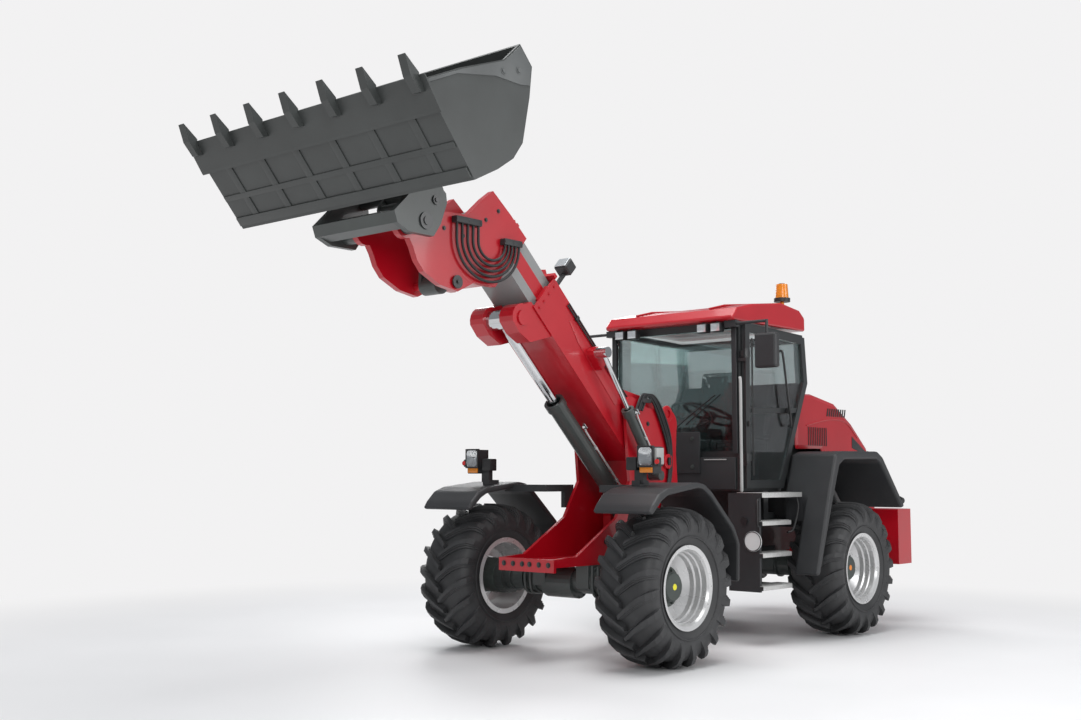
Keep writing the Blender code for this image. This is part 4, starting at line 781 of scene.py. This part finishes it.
def boom_hoses():
    """Five hoses that hang in half loops between two clamp blocks on the head's left plate."""
    last = len(HOSE_LENGTHS) - 1
    for name, (y, z), run in (("front", HOSE_FRONT, last * HOSE_PITCH[0]),
                              ("rear", HOSE_REAR, -last * HOSE_PITCH[1])):
        low, high = sorted((y, y + run))

        def clamp(bm, low=low - 2 * HOSE_RADIUS, high=high + 2 * HOSE_RADIUS, z=z):
            add_box(bm, (HEAD_FACE, HOSE_X + 2 * HOSE_RADIUS), (low, high), (z, z + 0.05), 0.006)
            for place in (low + 0.012, (low + high) / 2, high - 0.012):
                add_bolt(bm, side_view(place, z + 0.025, HOSE_X + 2 * HOSE_RADIUS - 0.001), (1, 0, 0),
                         0.007, 0.003)

        block = piece(f"hose_clamp_{name}", "inner_boom", PLASTIC, clamp)
        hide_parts("boom_hoses")
    for number, length in enumerate(HOSE_LENGTHS):
        y0, y1 = HOSE_FRONT[0] + number * HOSE_PITCH[0], HOSE_REAR[0] - number * HOSE_PITCH[1]
        middle, half = (y0 + y1) / 2, (y1 - y0) / 2
        drop = HOSE_DROP * half / ((HOSE_REAR[0] - HOSE_FRONT[0]) / 2)
        hang = HOSE_REAR[1] - 0.01
        route = [side_view(y0, HOSE_FRONT[1] + 0.02, HOSE_X),
                 side_view(y0, (HOSE_FRONT[1] + hang) / 2, HOSE_X)]
        for step in range(HOSE_ARC_STEPS + 1):
            turn = pi * step / HOSE_ARC_STEPS
            route.append(side_view(middle - half * cos(turn), hang - drop * sin(turn), HOSE_X))
        route += [side_view(y1, HOSE_REAR[1] + 0.02, HOSE_X)]
        curve = bpy.data.curves.new(f"hose_{number + 1}", "CURVE")
        curve.dimensions = "3D"
        curve.bevel_depth = HOSE_RADIUS
        curve.bevel_resolution = 4
        curve.use_fill_caps = True
        line = curve.splines.new("POLY")
        line.points.add(len(route) - 1)
        for point, spot in zip(line.points, route):
            point.co = (*spot, 1)
        curve.materials.append(BLACK)
        obj = bpy.data.objects.new(f"hose_{number + 1}", curve)
        bpy.context.scene.collection.objects.link(obj)
        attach(obj, "inner_boom")
        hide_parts("boom_hoses")


def counterweight():
    """The cast weight with well rounded corners."""
    source = frame["nodes"]["counterweight"]
    bm = bmesh.new()
    bm.from_mesh(source.data)
    bmesh.ops.dissolve_limit(bm, angle_limit=radians(3), verts=bm.verts, edges=bm.edges)
    sharp = [edge for edge in bm.edges if len(edge.link_faces) == 2 and edge.calc_face_angle(0) > radians(35)]
    bmesh.ops.bevel(bm, geom=sharp, offset=0.035, segments=4, profile=0.5, affect="EDGES", clamp_overlap=True)
    obj = mesh_object("counterweight_casting", bm, RED, smooth=40)
    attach(obj, "rear_frame")
    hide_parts("counterweight")


# ---------------------------------------------------------------- steps, rear body

def step_details():
    """Tread plates, rails and the blank round sign."""
    def treads(bm):
        for z in (0.53, 0.815, 1.095):
            add_box(bm, (0.80, 0.9855), (1.452, 1.938), (z + 0.0004, z + 0.005), 0.0015)
            add_box(bm, (0.9803, 0.9855), (1.452, 1.938), (z - 0.034, z + 0.0045), 0.0015)
            for k in range(12):
                y = 1.48 + k * 0.040
                add_box(bm, (0.83, 0.965), (y, y + 0.012), (z + 0.0052, z + 0.009), 0.001)
        add_box(bm, (0.72, 0.9855), (1.452, 2.138), (1.3454, 1.350), 0.0015)
        add_box(bm, (0.9803, 0.9855), (1.452, 2.138), (1.306, 1.3495), 0.0015)

    piece("tread_plates", "rear_frame", ALUMINIUM, treads)

    def rails(bm):
        front = ((1.449, 1.29), (1.430, 1.27), (1.430, 1.17), (1.430, 1.07), (1.449, 1.05))
        add_tube(bm, bent([side_view(y, z, 0.945) for y, z in front], 5), 0.009, 10)
        rear = ((0.95, 2.10, 1.304), (0.97, 2.09, 1.20), (0.97, 2.0, 1.02), (0.95, 1.93, 0.99))
        add_tube(bm, bent([side_view(y, z, x) for x, y, z in rear], 5), 0.010, 10)

    piece("step_rails", "rear_frame", BLACK, rails)

    def sign(bm):
        add_tube(bm, [side_view(1.4497, 0.922, 0.885), side_view(1.4415, 0.922, 0.885)], 0.09, 48)

    piece("sign_disc", "rear_frame", SIGN, sign)

    def sign_rim(bm):
        centre = side_view(0, 0.922, 0.885)
        ring = [centre + Vector((0.084 * cos(2 * pi * k / 48), 1.4405, 0.084 * sin(2 * pi * k / 48)))
                for k in range(49)]
        add_tube(bm, ring, 0.004, 8)
        add_tube(bm, [side_view(1.4497, 1.10, 0.80), side_view(1.436, 1.10, 0.80)], 0.034, 28)

    piece("sign_rim_and_cap", "rear_frame", BLACK, sign_rim)


def fender_details():
    """Grip dots on the rear fenders and the rear lamps."""
    def dots(bm):
        for sign in (1, -1):
            for i in range(9):
                for j in range(13):
                    x, y = 0.82 + i * 0.045, 2.46 + j * 0.050
                    z = 1.725 + (y - 2.42) / 0.74 * 0.010
                    add_tube(bm, [side_view(y, z - 0.001, sign * x), side_view(y, z + 0.003, sign * x)],
                             0.008, 8)

    piece("fender_grip_dots", "rear_frame", PLASTIC, dots)

    def lamps(bm):
        for sign in (1, -1):
            add_tube(bm, [side_view(3.70, 1.265, sign * 1.18), side_view(3.765, 1.25, sign * 1.18)], 0.036,
                     24)
            x = tuple(sorted((sign * 0.56, sign * 0.73)))
            add_box(bm, x, (4.3904, 4.402), (0.99, 1.11), 0.006)

    piece("rear_lamp_bodies", "rear_frame", BLACK, lamps)

    def lenses(bm):
        for sign in (1, -1):
            add_tube(bm, [side_view(3.765, 1.25, sign * 1.18), side_view(3.773, 1.248, sign * 1.18)], 0.028,
                     24)
            x = tuple(sorted((sign * 0.57, sign * 0.72)))
            add_box(bm, x, (4.4018, 4.408), (1.0, 1.10), 0.003)

    piece("rear_lamp_lenses", "rear_frame", RED_LENS, lenses)


def hood_details():
    """Slots, creases and grilles of the engine hood."""
    def vents(bm):
        for x, dx in ((0.5602, 0.004), (-0.5602, -0.004)):
            for k in range(9):
                y = 3.40 + k * 0.045
                slot = ((0.0, 2.105), (0.024, 2.105), (0.045, 2.185), (0.021, 2.185))
                add_prism(bm, [side_view(y + dy, z, x) for dy, z in slot], (dx, 0, 0), 0.001)
            for k in range(11):
                y = 3.02 + k * 0.036
                add_box(bm, tuple(sorted((x, x + dx))), (y, y + 0.014), (1.80, 1.985), 0.0012)

    piece("hood_vents", "engine_hood", BLACK, vents)

    def crease(bm):
        for x in (0.5605, -0.5605):
            route = [(2.984, 2.000), (3.432, 2.070), (3.792, 2.055), (4.05, 1.90)]
            add_tube(bm, bent([side_view(y, z, x) for y, z in route], 6), 0.007, 8)

    piece("hood_crease", "engine_hood", RED, crease)

    def panels(bm):
        for x, dx in ((0.5602, 0.003), (-0.5602, -0.003)):
            outline = ((3.93, 1.79), (4.19, 1.73), (4.22, 1.76), (3.93, 1.91))
            add_prism(bm, [side_view(y, z, x) for y, z in outline], (dx, 0, 0), 0.001)
        for k in range(9):
            z, lean = 1.45 + k * 0.034, 0.052 * k * 0.034
            outline = [(4.3335, z), (4.3425, z), (4.3395, z + 0.018), (4.3325, z + 0.018)]
            add_prism(bm, [side_view(y - lean, z, -0.44) for y, z in outline], (0.88, 0, 0), 0.001)

    piece("hood_grilles", "engine_hood", PLASTIC, panels)


# ---------------------------------------------------------------- studio

def studio():
    """A pale floor that turns into the backdrop's own tone, under a large soft box."""
    look = FLOOR
    tree = look.node_tree
    shader = tree.nodes["Principled BSDF"]
    out = tree.nodes["Material Output"]
    new, link = tree.nodes.new, tree.links.new
    glow = new("ShaderNodeEmission")
    glow.inputs["Color"].default_value = (*BACKDROP, 1)
    place = new("ShaderNodeTexCoord")
    length = new("ShaderNodeVectorMath")
    length.operation = "LENGTH"
    link(place.outputs["Object"], length.inputs[0])
    fade = new("ShaderNodeMapRange")
    fade.interpolation_type = "SMOOTHSTEP"
    fade.inputs["From Min"].default_value = FLOOR_REACH[0]
    fade.inputs["From Max"].default_value = FLOOR_REACH[1]
    link(length.outputs["Value"], fade.inputs["Value"])
    mix = new("ShaderNodeMixShader")
    link(fade.outputs["Result"], mix.inputs["Fac"])
    link(shader.outputs["BSDF"], mix.inputs[1])
    link(glow.outputs["Emission"], mix.inputs[2])
    link(mix.outputs["Shader"], out.inputs["Surface"])
    bm = bmesh.new()
    bmesh.ops.create_grid(bm, x_segments=1, y_segments=1, size=80)
    floor = mesh_object("studio_floor", bm, look)

    world = bpy.data.worlds.new("studio")
    world.use_nodes = True
    tree = world.node_tree
    seen = tree.nodes["Background"]
    seen.inputs["Color"].default_value = (*BACKDROP, 1)
    lit = tree.nodes.new("ShaderNodeBackground")
    lit.inputs["Color"].default_value = (0.92, 0.95, 1.0, 1)
    lit.inputs["Strength"].default_value = 0.34
    path = tree.nodes.new("ShaderNodeLightPath")
    mix = tree.nodes.new("ShaderNodeMixShader")
    tree.links.new(path.outputs["Is Camera Ray"], mix.inputs["Fac"])
    tree.links.new(lit.outputs["Background"], mix.inputs[1])
    tree.links.new(seen.outputs["Background"], mix.inputs[2])
    tree.links.new(mix.outputs["Shader"], tree.nodes["World Output"].inputs["Surface"])
    bpy.context.scene.world = world

    def area(name, place, aim, size, power):
        data = bpy.data.lights.new(name, "AREA")
        data.shape, data.size, data.size_y = "RECTANGLE", size[0], size[1]
        data.energy = power
        obj = bpy.data.objects.new(name, data)
        bpy.context.scene.collection.objects.link(obj)
        obj.location = place
        obj.rotation_euler = (Vector(aim) - Vector(place)).to_track_quat("-Z", "Y").to_euler()

    area("overhead", (0.5, -1.5, 11.0), (0, 0, 0), (9, 9), 1150)
    area("front_left", (8.0, -8.0, 5.0), (0, 0, 1.5), (5, 4), 380)
    area("left", (10.0, 3.5, 4.5), (0, 0.5, 1.5), (5, 4), 330)
    area("rear_right", (-8.0, 7.0, 6.5), (0, 1.0, 1.5), (5, 4), 300)


def camera():
    """The photograph's camera, found from the wheels' outlines and the bucket's corners."""
    yaw, pitch = CAMERA_YAW, CAMERA_PITCH
    back = Vector((sin(yaw) * cos(pitch), -cos(yaw) * cos(pitch), sin(pitch)))
    right = Vector((cos(yaw), sin(yaw), 0))
    up = back.cross(right)
    turned = Matrix.Rotation(CAMERA_ROLL, 3, back)
    right, up = turned @ right, turned @ up
    data = bpy.data.cameras.new("camera")
    data.sensor_width = 36
    data.lens = FOCAL_PIXELS / FRAME_PIXELS * data.sensor_width
    data.clip_end = 200
    obj = bpy.data.objects.new("camera", data)
    bpy.context.scene.collection.objects.link(obj)
    axes = Matrix((right, up, back)).transposed().to_4x4()
    obj.matrix_world = Matrix.Translation(CAMERA_PLACE) @ axes
    bpy.context.scene.camera = obj
    bpy.context.scene.view_settings.view_transform = "Standard"


camera()
studio()
paint_frame()
wheels()
bucket_details()
boom_details()
cylinder_pipes()
front_frame_details()
axle_details()
lamp_pair()
boom_hoses()
counterweight()
cab_details()
seat()
step_details()
fender_details()
hood_details()
